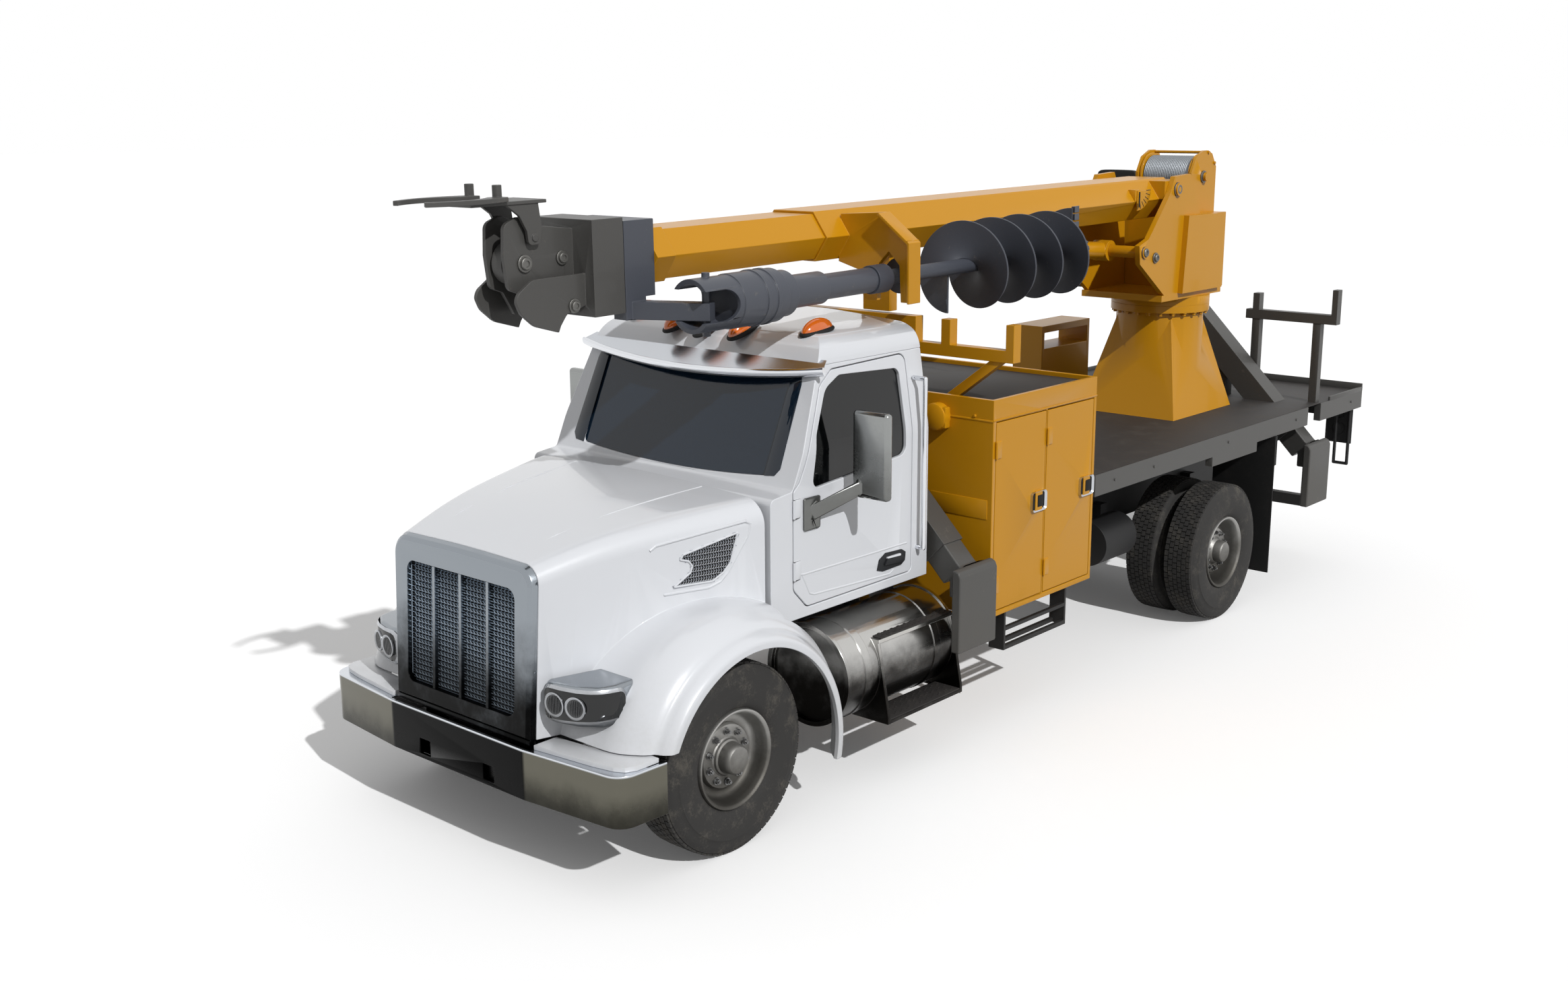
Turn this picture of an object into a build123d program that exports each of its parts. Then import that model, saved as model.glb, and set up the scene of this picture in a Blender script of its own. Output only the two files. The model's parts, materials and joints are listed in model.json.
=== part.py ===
from build123d import *
import math
import os

# Digger derrick truck. Millimetres, +X to the front, +Y to the driver's side, +Z up, ground at z = 0.
# The boom, its turret and the pedestal sit a little left of the truck's middle line.

os.makedirs("parts", exist_ok=True)

# Running gear
TYRE_R = 540
FRONT_AXLE_X = 3400
REAR_AXLE_X = -2185
KINGPIN_Y = 850
FRONT_TYRE_Y = (885, 1175)
REAR_TYRES_Y = ((598, 880), (928, 1211))
RIM_R = 280
BORE = 50.1
RAIL_Y = 430
RAIL_Z = (760, 1020)
RAIL_FLANGE = 80

# Cab, hood and fenders
CAB_Y = 1000
CAB_WALL = 45
CAB_FLOOR = 1130
CAB_FRONT_X = 2930
CAB_REAR_X = 1480
CAB_SPLIT_Z = 2548
SEAM = 6
LIP_Y = 1275
ARCH_X = FRONT_AXLE_X - 65
ARCH_Z = TYRE_R - 45
ARCH_R = TYRE_R + 340
LIP_R = TYRE_R + 128
SHEET = 30
HOOD_X = (2960, 4300)
HOOD_LOW = 775
HOOD_HINGE = (4280, 785)
BUMPER_X = 4385
BUMPER_Z = (460, 742)
BUMPER_WALL = 20

# Service cabinet and flatbed
CABINET_X = (-116, 1105)
CABINET_Z = (790, 2200)
BODY_Y = 1220
WALL = 30
BED_X = (-4630, -140)
BED_TOP = 1512

# Crane
AXIS_Y = 230
SLEW_X = -2736
RING_R = 395
RING_Z = (2340, 2400, 2470)
DECK_TOP = 2520
PIVOT = (-2268, 3333)
LIFT_BASE = (-1798, 2876)
LIFT_EYE = (-600, 2960)
BOOM_DROP = 0.73
BOOM_X = (-2418, 1850)
SECOND_END = 3260
BOOM_TOP = 3414
BOOM_KNEE = 3262
BOOM_LOW = 3115
BOOM_HALF = (160, 270, 170)
AUGER_Y = 800
AUGER_Z = 3027
AUGER_R = 285
KELLY_R = 46
RACK_TOP = 2665

# Outriggers: the tubes lean 45 degrees in a plane across the truck
LEG_X = (1330, -3650)
LEG_ANGLE = 45
BOOT_Y = 1300

GAP = 0.3
HINGE_R = 9
HINGE_LENGTH = 110
HOOD_PIN_R = 12


def box(x0, x1, y0, y1, z0, z1):
    return Pos((x0 + x1) / 2, (y0 + y1) / 2, (z0 + z1) / 2) * Box(abs(x1 - x0), abs(y1 - y0), abs(z1 - z0))


def rod_x(y, z, r, x0, x1):
    return Pos((x0 + x1) / 2, y, z) * Rot(0, 90, 0) * Cylinder(r, abs(x1 - x0))


def rod_y(x, z, r, y0, y1):
    return Pos(x, (y0 + y1) / 2, z) * Rot(90, 0, 0) * Cylinder(r, abs(y1 - y0))


def rod_z(x, y, r, z0, z1):
    return Pos(x, y, (z0 + z1) / 2) * Cylinder(r, abs(z1 - z0))


def side(points, y0, y1):
    """Prism of an (x, z) outline between two y values."""
    face = make_face(Polyline([(x, y0, z) for x, z in points], close=True))
    return extrude(face, amount=abs(y1 - y0), dir=(0, 1 if y1 > y0 else -1, 0))


def across(points, x0, x1):
    """Prism of a (y, z) outline between two x values."""
    face = make_face(Polyline([(x0, y, z) for y, z in points], close=True))
    return extrude(face, amount=abs(x1 - x0), dir=(1 if x1 > x0 else -1, 0, 0))


def plan(points, z0, z1):
    """Prism of an (x, y) outline between two z values."""
    face = make_face(Polyline([(x, y, z0) for x, y in points], close=True))
    return extrude(face, amount=abs(z1 - z0), dir=(0, 0, 1 if z1 > z0 else -1))


def bar(a, b, width, height):
    """Square bar from point a to point b, its width kept level."""
    a = Vector(*a)
    b = Vector(*b)
    run = b - a
    level = Vector(0, 0, 1).cross(run)
    if level.length < 1e-6:
        level = Vector(0, 1, 0)
    frame = Plane(origin=a, x_dir=level, z_dir=run)
    return extrude(frame * Rectangle(width, height), amount=run.length, dir=run.normalized())


def tube(points, r):
    """Round bar along straight legs with ball corners."""
    out = None
    for a, b in zip(points, points[1:]):
        run = Vector(*b) - Vector(*a)
        leg = Plane(origin=a, z_dir=run) * Cylinder(r, run.length,
                                                    align=(Align.CENTER, Align.CENTER, Align.MIN))
        out = leg if out is None else out + leg
    for p in points[1:-1]:
        out = out + Pos(*p) * Sphere(r)
    return out


def barrels(x, y, heights, s):
    """Hinge barrels just outside a door's front edge."""
    out = None
    for z in heights:
        one = rod_z(x, (y + HINGE_R) * s, HINGE_R - GAP, z - HINGE_LENGTH / 2, z + HINGE_LENGTH / 2)
        one = one + box(x - 60, x - SEAM, (y - 2) * s, (y + 8) * s, z - HINGE_LENGTH / 2,
                        z + HINGE_LENGTH / 2)
        one = one + box(x - 60, x, (y + 3) * s, (y + 8) * s, z - HINGE_LENGTH / 2, z + HINGE_LENGTH / 2)
        out = one if out is None else out + one
    return out


def flip(shape):
    """The same piece on the passenger's side."""
    return mirror(shape, about=Plane.XZ)


def turn_y(shape, x, z, degrees):
    """Turn about a line along Y; positive lifts what lies in front of it."""
    return shape.rotate(Axis((x, 0, z), (0, -1, 0)), degrees)


SIDE = Plane(origin=(0, 0, 0), x_dir=(1, 0, 0), z_dir=(0, -1, 0))
ACROSS = Plane(origin=(0, 0, 0), x_dir=(0, 1, 0), z_dir=(1, 0, 0))


def rounded(points, radii):
    """Flat outline with some corners rounded: radii gives a corner's number and its radius."""
    face = make_face(Polyline([(u, v) for u, v in points], close=True))
    for number, r in radii.items():
        u, v = points[number]
        corner = face.vertices().sort_by_distance((u, v, 0))[0]
        face = fillet(corner, r)
    return face


def spin_y(outline):
    """Solid of revolution about a line along Y through the wheel centre."""
    face = make_face(Polyline([(0, y, r) for y, r in outline], close=True))
    return revolve(face, axis=Axis((0, 0, 0), (0, 1, 0)), revolution_arc=360)


def save(name, *shapes):
    solids = []
    for shape in shapes:
        solids.extend(shape.solids())
    whole = solids[0] if len(solids) == 1 else Compound(children=solids)
    whole.label = name
    export_step(whole, f"parts/{name}.step")


# Frame: two channel rails with crossmembers
def rail(y_out, sign):
    web = box(-4600, 4250, y_out * sign, (y_out - 10) * sign, *RAIL_Z)
    low = box(-4600, 4250, y_out * sign, (y_out - 80) * sign, RAIL_Z[0], RAIL_Z[0] + 12)
    top = box(-4600, 4250, y_out * sign, (y_out - 80) * sign, RAIL_Z[1] - 12, RAIL_Z[1])
    return web + low + top


frame = rail(RAIL_Y, 1) + rail(RAIL_Y, -1)
for x in (4150, 2150, 700, -700, -1600, -2900, -3900, -4560):
    frame = frame + box(x - 40, x + 40, -RAIL_Y + 5, RAIL_Y - 5, 900, 1012)

# Engine, gearbox and drive shaft
engine = box(3080, 3900, -320, 320, 830, 1520) + box(2250, 3080, -190, 190, 770, 890)
for s in (1, -1):
    engine = engine + box(3420, 3540, 300 * s, (RAIL_Y - 10) * s, 880, 990)
shaft_a = (2250, 0, 830)
shaft_b = (REAR_AXLE_X + 230, 0, TYRE_R + 30)
SHAFT_R = 55
engine = engine + tube([shaft_a, shaft_b], SHAFT_R)
save("powertrain", engine, box(3985, 4085, -RAIL_Y + 80, RAIL_Y - 80, 800, 1580))

# Axles
BEAM_Z = (TYRE_R - 110, TYRE_R - 10)
front_axle = box(FRONT_AXLE_X - 45, FRONT_AXLE_X + 45, -800, 800, *BEAM_Z)
for s in (1, -1):
    front_axle = front_axle + rod_z(FRONT_AXLE_X, KINGPIN_Y * s, 52, *BEAM_Z)
    spring = [(-680, RAIL_Z[0] - 70), (-350, TYRE_R + 50), (0, TYRE_R + 20), (350, TYRE_R + 50),
              (680, RAIL_Z[0] - 70)]
    spring = [(FRONT_AXLE_X + x, z) for x, z in spring]
    leaf = side(spring + [(x, z - 45) for x, z in reversed(spring)], (RAIL_Y - RAIL_FLANGE) * s, RAIL_Y * s)
    front_axle = front_axle + leaf
    front_axle = front_axle + box(FRONT_AXLE_X - 60, FRONT_AXLE_X + 60, (RAIL_Y - RAIL_FLANGE) * s,
                                  RAIL_Y * s,
                                  TYRE_R - 40, TYRE_R + 20)
    for x in (FRONT_AXLE_X - 680, FRONT_AXLE_X + 680):
        front_axle = front_axle + box(x - 40, x + 40, (RAIL_Y - RAIL_FLANGE) * s, RAIL_Y * s,
                                      RAIL_Z[0] - 120, RAIL_Z[0])

rear_axle = rod_y(REAR_AXLE_X, TYRE_R, 75, -590, 590)
rear_axle = rear_axle + Pos(REAR_AXLE_X, 0, TYRE_R) * Sphere(215)
rear_axle = rear_axle + rod_y(REAR_AXLE_X, TYRE_R, BORE - 0.1, -1000, 1000)
rear_axle = rear_axle - tube([shaft_a, shaft_b], SHAFT_R + 1)
for s in (1, -1):
    spring = [(-715, RAIL_Z[0] + 60), (-365, TYRE_R + 150), (0, TYRE_R + 110), (365, TYRE_R + 150),
              (715, RAIL_Z[0] + 60)]
    spring = [(REAR_AXLE_X + x, z) for x, z in spring]
    leaf = side(spring + [(x, z - 70) for x, z in reversed(spring)], (RAIL_Y + 10) * s, (RAIL_Y + 90) * s)
    rear_axle = rear_axle + leaf
    rear_axle = rear_axle + box(REAR_AXLE_X - 60, REAR_AXLE_X + 60, (RAIL_Y + 10) * s, (RAIL_Y + 90) * s,
                                TYRE_R + 20, TYRE_R + 110)
    for x in (REAR_AXLE_X - 715, REAR_AXLE_X + 715):
        rear_axle = rear_axle + box(x - 45, x + 45, RAIL_Y * s, (RAIL_Y + 90) * s, RAIL_Z[0] + 10,
                                    RAIL_Z[1] - 60)
save("axles", front_axle, rear_axle)


# Wheels
def tyre_outline(y0, y1):
    """Half section of a tyre between two side faces, as (y, radius)."""
    wall = [(30, RIM_R + 2), (8, RIM_R + 40), (0, TYRE_R - 130), (12, TYRE_R - 40), (40, TYRE_R - 8),
            (70, TYRE_R)]
    return [(y0 + d, r) for d, r in wall] + [(y1 - d, r) for d, r in reversed(wall)]


def place_wheel(shape, x):
    return Pos(x, 0, TYRE_R) * shape


front_rim = [
    (900, RIM_R - 24), (900, RIM_R + 2), (1160, RIM_R + 2), (1160, RIM_R - 22), (1120, RIM_R - 32),
    (1110, RIM_R - 45),
    (1120, 170), (1170, 168), (1170, 120), (1200, 112), (1200, 0.0), (1175, 0.0), (1175, BORE),
    (1000, BORE), (1000, 150), (1060, 165), (1085, RIM_R - 45), (1080, RIM_R - 24),
]
rear_rim = [
    (612, RIM_R - 24), (612, RIM_R + 2), (866, RIM_R + 2), (866, RIM_R - 24), (850, RIM_R - 44), (855, 190),
    (955, 190),
    (960, RIM_R - 44), (942, RIM_R - 24), (942, RIM_R + 2), (1197, RIM_R + 2), (1197, RIM_R - 22),
    (1180, RIM_R - 32), (985, RIM_R - 44), (980, 175), (1150, 150), (1160, 130), (1200, 118), (1200, 0.0),
    (1010, 0.0), (1010, BORE), (650, BORE), (650, 180), (822, 190), (815, RIM_R - 24),
]
for s, word in ((1, "left"), (-1, "right")):
    tyre = place_wheel(spin_y(tyre_outline(*FRONT_TYRE_Y)), FRONT_AXLE_X)
    rim = place_wheel(spin_y(front_rim), FRONT_AXLE_X)
    inner = place_wheel(spin_y(tyre_outline(*REAR_TYRES_Y[0])), REAR_AXLE_X)
    outer = place_wheel(spin_y(tyre_outline(*REAR_TYRES_Y[1])), REAR_AXLE_X)
    dual = place_wheel(spin_y(rear_rim), REAR_AXLE_X)
    # the steering knuckle holds the kingpin boss between two ears
    low, high = TYRE_R - 180, TYRE_R + 60
    knuckle = rod_z(FRONT_AXLE_X, KINGPIN_Y, 52, BEAM_Z[1] + GAP, high)
    knuckle = knuckle + rod_z(FRONT_AXLE_X, KINGPIN_Y, 52, low, BEAM_Z[0] - GAP)
    knuckle = knuckle + box(FRONT_AXLE_X - 45, FRONT_AXLE_X + 45, KINGPIN_Y + 58, KINGPIN_Y + 100, low,
                            high)
    knuckle = knuckle + box(FRONT_AXLE_X - 40, FRONT_AXLE_X + 40, KINGPIN_Y, KINGPIN_Y + 70, BEAM_Z[1] + 10,
                            high)
    knuckle = knuckle + box(FRONT_AXLE_X - 40, FRONT_AXLE_X + 40, KINGPIN_Y, KINGPIN_Y + 70, low,
                            BEAM_Z[0] - 10)
    knuckle = knuckle + rod_y(FRONT_AXLE_X, TYRE_R, BORE - 0.1, KINGPIN_Y + 90, 1170)
    parts = {"tyre_front": [tyre], "rim_front": [rim], "tyre_rear": [inner, outer], "rim_rear": [dual],
             "knuckle": [knuckle]}
    for name, shapes in parts.items():
        if s < 0:
            shapes = [flip(shape) for shape in shapes]
        save(f"{name}_{word}", *shapes)

# Front bumper with rounded corners, square tow openings and ledges beside the grille
BUMPER_PLAN = [(BUMPER_X, -565), (BUMPER_X, 565), (BUMPER_X - 65, 1238), (4005, 1252), (4005, -1252),
               (BUMPER_X - 65, -1238)]
outline = rounded(BUMPER_PLAN, {0: 260, 1: 260, 2: 110, 5: 110})
hollow = offset(outline, -BUMPER_WALL, kind=Kind.INTERSECTION)
bumper = extrude(Pos(0, 0, BUMPER_Z[0]) * (outline - hollow), amount=BUMPER_Z[1] - BUMPER_Z[0])
bumper = bumper - box(3900, 4030, -1225, 1225, 400, 900)
LEDGE_Y = 605
ledge = extrude(Pos(0, 0, BUMPER_Z[1] - 14) * outline, amount=14)
for s in (1, -1):
    bumper = bumper + (ledge & box(4120, 4500, LEDGE_Y * s, 1300 * s, 400, 900))
    bumper = bumper - box(BUMPER_X - 45, BUMPER_X + 15, 231 * s, 321 * s, 488, 578)
    bumper = bumper + box(4160, BUMPER_X - 15, (RAIL_Y - RAIL_FLANGE) * s, RAIL_Y * s, 600, 700)
    bumper = bumper + box(4160, 4240, (RAIL_Y - RAIL_FLANGE) * s, RAIL_Y * s, 690, RAIL_Z[0])
    bumper = bumper + rod_y(*HOOD_HINGE, HOOD_PIN_R + 6, (RAIL_Y + 5) * s, (RAIL_Y + 25) * s)
    bumper = bumper + box(4200, HOOD_HINGE[0], (RAIL_Y + 5) * s, (RAIL_Y + 25) * s, 770, 800)
    bumper = bumper + box(4200, 4240, (RAIL_Y + 5) * s, (RAIL_Y + 25) * s, 650, 800)
    bumper = bumper + box(4200, 4240, (RAIL_Y - 5) * s, (RAIL_Y + 25) * s, 650, 750)
    bumper = bumper + rod_y(*HOOD_HINGE, HOOD_PIN_R, (RAIL_Y + 10) * s, (RAIL_Y + 60) * s)
save("front_bumper", bumper)

# Hood: a smooth skin lofted through flat-topped sections with round shoulders
HOOD_TABLE = [
    # x, half width, shoulder z, middle z, shoulder radius
    (HOOD_X[1] + 60, 568, 1674, 1684, 100),
    (HOOD_X[1], 585, 1688, 1700, 105),
    (3970, 680, 1768, 1790, 115),
    (3600, 790, 1826, 1858, 130),
    (3300, 880, 1852, 1890, 140),
    (HOOD_X[0], 985, 1870, 1915, 150),
]


def hood_section(row, inset, low):
    x, half, shoulder, middle, r = row
    half = half - inset
    crown = 0.45 * half * half / (middle - shoulder)
    foot = [(-half, low), (half, low)]
    over = [(half, shoulder - inset), (0, middle - inset), (-half, shoulder - inset)]
    return Pos(x, 0, 0) * (ACROSS * rounded(foot + over, {2: r, 3: crown, 4: r}))


def hood_loft(inset, low):
    return loft([hood_section(row, inset, low) for row in HOOD_TABLE])


GRILLE_LEAN = 3.2


def lean_back(shape):
    """Tip a piece of the nose back about the hood's lower front edge."""
    return shape.rotate(Axis((HOOD_X[1], 0, HOOD_LOW), (0, 1, 0)), -GRILLE_LEAN)


# Fenders: arches of revolution about a line behind the wheel centre, with a flared lip
def arch_point(y, r):
    return (ARCH_X, y, ARCH_Z + r)


FENDER_IN = 530
ROLL_Y = 930
FLARE_Y = 1195


def fender_skin(grow):
    """Outer line of the fender's section, from inside the hood to the lip."""
    r = ARCH_R + grow
    level = Line(arch_point(FENDER_IN, r), arch_point(ROLL_Y, r))
    over = [arch_point(ROLL_Y, r), arch_point(1050, r - 18), arch_point(1140, r - 65),
            arch_point(FLARE_Y, r - 120)]
    roll = Spline(over, tangents=[(0, 1, 0), (0, 0.5, -0.85)])
    step = Line(over[-1], arch_point(FLARE_Y + 20, r - 130))
    out = [arch_point(FLARE_Y + 20, r - 130), arch_point(1254, r - 152), arch_point(LIP_Y + grow, r - 188)]
    flare = Spline(out, tangents=[(0, 1, -0.3), (0, 0, -1)])
    lip = Line(out[-1], arch_point(LIP_Y + grow, LIP_R))
    return [level, roll, step, flare, lip]


def spin_arch(edges):
    return revolve(make_face(edges), axis=Axis((ARCH_X, 0, ARCH_Z), (0, 1, 0)), revolution_arc=360)


liner = Polyline([arch_point(y, r) for y, r in (
    (LIP_Y, LIP_R), (LIP_Y - 28, LIP_R), (LIP_Y - 32, ARCH_R - 205), (1190, ARCH_R - 165),
    (1130, ARCH_R - 105),
    (1045, ARCH_R - 55), (ROLL_Y, ARCH_R - SHEET), (FENDER_IN, ARCH_R - SHEET), (FENDER_IN, ARCH_R))])
fender = spin_arch(fender_skin(0) + list(liner.edges()))
fender = fender - box(ARCH_X, 4600, 0, 1400, -600, HOOD_LOW) - box(2000, ARCH_X + 1, 0, 1400, -600, 345)
fender = fender - box(2000, HOOD_X[0], 0, 1130, -600, 2000)
fender = fender - hood_loft(SHEET, 600)
hood = hood_loft(0, HOOD_LOW) - hood_loft(SHEET, 700)
hood = hood - lean_back(box(HOOD_X[1], HOOD_X[1] + 300, -1400, 1400, 400, 2200))
for s in (1, -1):
    hood = hood - rod_y(ARCH_X, ARCH_Z, ARCH_R - SHEET / 2, 540 * s, 1100 * s)
hood = hood + fender + flip(fender)
save("hood", hood)

# Headlamp pods on the fenders' fronts
core = Polyline([arch_point(LIP_Y + GAP, LIP_R), arch_point(LIP_Y + GAP, 0), arch_point(FENDER_IN, 0),
                 arch_point(FENDER_IN, ARCH_R + GAP)])
fender_core = spin_arch(fender_skin(GAP) + list(core.edges()))
LAMP_FRONT = ARCH_X + ARCH_R + 65
LAMP_Z = (ARCH_Z + 395, ARCH_Z + 615)
LAMP_PLAN = [
    # distance behind the lamp's front, distance from the middle
    (380, 722), (16, 614), (0, 700), (36, 850), (110, 960), (190, 985), (380, 985),
]
pod = rounded([(LAMP_FRONT - back, y) for back, y in LAMP_PLAN], {1: 40, 2: 60, 3: 110, 4: 60, 5: 40})
lamp = extrude(Pos(0, 0, LAMP_Z[0]) * pod, amount=LAMP_Z[1] - LAMP_Z[0])
rims = lamp.faces().sort_by(Axis.Z)
lamp = fillet(list(rims[0].edges()) + list(rims[-1].edges()), 30)
lamp = max((lamp - fender_core).solids(), key=lambda p: p.volume)
save("headlamps", lamp, flip(lamp))

# Grille: bright surround with uprights, mesh panel behind, both leaning back
GRILLE_X = (HOOD_X[1] + GAP, HOOD_X[1] + 48)
GRILLE_OPEN = (920, 690)
GRILLE_MIDDLE = 1218
slab = lean_back(box(*GRILLE_X, -700, 700, 600, 1900))
surround = hood_loft(3, HOOD_LOW) & slab
front = Axis((0, 0, 0), (math.cos(math.radians(GRILLE_LEAN)), 0, math.sin(math.radians(GRILLE_LEAN))))
surround = chamfer(surround.faces().sort_by(front)[-1].edges(), 16)
window = ACROSS * (Pos(0, GRILLE_MIDDLE) * RectangleRounded(*GRILLE_OPEN, 60))
surround = surround - lean_back(extrude(Pos(HOOD_X[1] - 100, 0, 0) * window, amount=300, dir=(1, 0, 0)))
for y in (-230, 0, 230):
    surround = surround + lean_back(box(GRILLE_X[0] + 14, GRILLE_X[1] - 4, y - 11, y + 11, 868, 1568))
for s in (1, -1):
    eye = box(4255, GRILLE_X[0] + 2, (RAIL_Y + 30) * s, (RAIL_Y + 50) * s, HOOD_LOW - 10, 815)
    surround = surround + (eye - rod_y(*HOOD_HINGE, HOOD_PIN_R + GAP, 300 * s, 600 * s))
save("grille_surround", surround)
inner_size = (GRILLE_OPEN[0] - 2 * GAP, GRILLE_OPEN[1] - 2 * GAP)
mesh_panel = ACROSS * (Pos(0, GRILLE_MIDDLE) * RectangleRounded(*inner_size, 60 - GAP))
save("grille_mesh", lean_back(extrude(Pos(GRILLE_X[0] + 1, 0, 0) * mesh_panel, amount=10, dir=(1, 0, 0))))

# Cab
SCREEN_FOOT = (2745, 1885)
BROW = (2372, 2705)
cab_side = SIDE * rounded([(CAB_FRONT_X, CAB_FLOOR), (CAB_FRONT_X, 1865), SCREEN_FOOT, BROW,
                           (CAB_REAR_X, 2752),
                           (CAB_REAR_X, CAB_FLOOR)], {1: 40, 2: 30, 3: 260, 4: 110})
half = [(CAB_Y, CAB_FLOOR), (CAB_Y, 2080), (905, 2690)]
cab_front = half + [(0, 2765)] + [(-y, z) for y, z in reversed(half)]
cab_front = ACROSS * rounded(cab_front, {1: 500, 2: 170, 4: 170, 5: 500})


def lengthwise(inset):
    """Prism along the truck of the cab's front outline, drawn in by a wall."""
    face = offset(cab_front, -inset, kind=Kind.INTERSECTION) if inset else cab_front
    return extrude(Pos(1400, 0, 0) * face, amount=1700, dir=(1, 0, 0))


def cab_form(inset):
    """The cab's outer form, or the same drawn in by a wall."""
    face = offset(cab_side, -inset, kind=Kind.INTERSECTION) if inset else cab_side
    return extrude(Pos(0, -1100, 0) * face, amount=2200, dir=(0, 1, 0)) & lengthwise(inset)


shell = cab_form(0) - cab_form(CAB_WALL)
DOOR = [(2743, 1305), (2743, 1880), (2690, 1925), (2640, 2017), (2447, 2440), (2330, 2520), (1640, 2536),
        (1640, 1185),
        (2626, 1185)]
DOOR_ROUND = {0: 60, 1: 25, 2: 40, 4: 80, 5: 60, 6: 60, 7: 40, 8: 60}
WINDOW = [(2575, 1868), (2520, 2170), (2400, 2415), (2267, 2478), (1714, 2452), (1704, 1935)]
WINDOW_ROUND = {0: 45, 1: 120, 2: 120, 3: 80, 4: 50, 5: 60}


def grow(points, radii, amount):
    face = SIDE * rounded(points, radii)
    if amount:
        face = offset(face, amount, kind=Kind.INTERSECTION)
    return face


def through(face, y0, y1):
    return extrude(Pos(0, y0, 0) * face, amount=y1 - y0, dir=(0, 1, 0))


side_wall = cab_form(0) - lengthwise(CAB_WALL)
for s, word in ((1, "left"), (-1, "right")):
    hole = through(grow(DOOR, DOOR_ROUND, 0), 800, 1100) - lengthwise(CAB_WALL + 8)
    leaf = through(grow(DOOR, DOOR_ROUND, -SEAM), 800, 1100)
    pane = through(grow(WINDOW, WINDOW_ROUND, 0), 800, 1100)
    glass = through(grow(WINDOW, WINDOW_ROUND, -GAP), 800, 1100)
    if s < 0:
        hole, leaf, pane, glass = (flip(p) for p in (hole, leaf, pane, glass))
    door = (side_wall & leaf) - pane
    handle = box(1770, 1900, CAB_Y * s, (CAB_Y + 22) * s, 1285, 1330)
    door = door + handle + barrels(DOOR[0][0], CAB_Y, (1420, 1780), s)
    save(f"door_{word}", door)
    skin = (cab_form(18) - cab_form(27)) & glass
    save(f"door_glass_{word}", skin)
    shell = shell - hole
    # mirror head on a broad arm from the door
    head = fillet(box(2270, 2330, 1085 * s, 1340 * s, 1795, 2300).edges(), 24)
    arm = bar((2600, 1010 * s, 1735), (2310, 1150 * s, 1860), 26, 84)
    foot = box(2520, 2660, CAB_Y * s, (CAB_Y + 16) * s, 1640, 1830)
    save(f"mirror_{word}", head + (arm - cab_form(0)) + foot)

# the windshield's sill is an arc, its corners are rounded
sill = ThreePointArc((-774, 1940), (0, 1903), (774, 1940))
posts = Polyline([(774, 1940), (800, 2520), (-800, 2520), (-774, 1940)])
SCREEN = make_face([sill] + list(posts.edges()))
SCREEN = fillet(SCREEN.vertices(), 40)
BACK_LIGHT = Pos(0, 2220) * RectangleRounded(1120, 400, 60)


def pane_prism(opening, shrink, x0, x1):
    """Prism along X of a window drawn as (y, z)."""
    face = offset(opening, -shrink, kind=Kind.INTERSECTION) if shrink else opening
    return extrude(Pos(x0, 0, 0) * (ACROSS * face), amount=x1 - x0, dir=(1, 0, 0))


shell = shell - pane_prism(BACK_LIGHT, 0, 1400, 1560) - pane_prism(SCREEN, 0, 2300, 2850)
roof = shell & box(1400, 3000, -1100, 1100, CAB_SPLIT_Z, 2900)
lower = shell & box(1400, 3000, -1100, 1100, 1000, CAB_SPLIT_Z - 0.1)
for x in (1580, 2700):
    for s in (1, -1):
        lower = lower + box(x, x + 110, (RAIL_Y - 80) * s, RAIL_Y * s, RAIL_Z[1], 1140)
save("cab_shell", lower)
save("cab_roof", roof)
lean_x = (SCREEN_FOOT[0] - BROW[0]) / (BROW[1] - SCREEN_FOOT[1])
low_z, high_z = 1880, 2600
low_x = SCREEN_FOOT[0] - lean_x * (low_z - SCREEN_FOOT[1])
high_x = SCREEN_FOOT[0] - lean_x * (high_z - SCREEN_FOOT[1])
band = [(low_x - 12, low_z), (high_x - 12, high_z), (high_x - 22, high_z), (low_x - 22, low_z)]
screen = side(band, -CAB_Y, CAB_Y) & pane_prism(SCREEN, GAP, 2200, 2900)
save("cab_glass", screen, pane_prism(BACK_LIGHT, GAP, CAB_REAR_X + 10, CAB_REAR_X + 20))

# Sun visor: a bowed plate sloping down over the windshield
VISOR_TIP = (2342, 973, 2588)
VISOR_REACH = 270
VISOR_SLOPE = math.radians(26)
tilted = Plane(origin=(VISOR_TIP[0], 0, VISOR_TIP[2]), x_dir=(math.cos(VISOR_SLOPE), 0,
                                                              -math.sin(VISOR_SLOPE)),
               z_dir=(math.sin(VISOR_SLOPE), 0, math.cos(VISOR_SLOPE)))
bow = ThreePointArc((0, -VISOR_TIP[1]), (VISOR_REACH, 0), (0, VISOR_TIP[1]))
chord = Line((0, VISOR_TIP[1]), (0, -VISOR_TIP[1]))
visor = extrude(tilted * make_face([bow, chord]), amount=14, dir=tilted.z_dir) - cab_form(0)

lamps = []
for y in (-720, -300, 0, 300, 720):
    dome = scale(Sphere(100), by=(1.25, 0.5, 0.6)).rotate(Axis.Y, 17)
    lamps.append(Pos(2205, y, 2702 - abs(y) / 40) * dome - cab_form(0))
save("roof_lamps", *[max(p.solids(), key=lambda q: q.volume) for p in lamps])

grabs = []
for s in (1, -1):
    grab = tube([(1590, 990 * s, 1330), (1590, 1050 * s, 1330), (1590, 1050 * s, 2380),
                 (1590, 960 * s, 2380)], 15) - cab_form(0)
    grabs.append(max(grab.solids(), key=lambda p: p.volume))
save("cab_brightwork", max(visor.solids(), key=lambda p: p.volume), *grabs)

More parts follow.
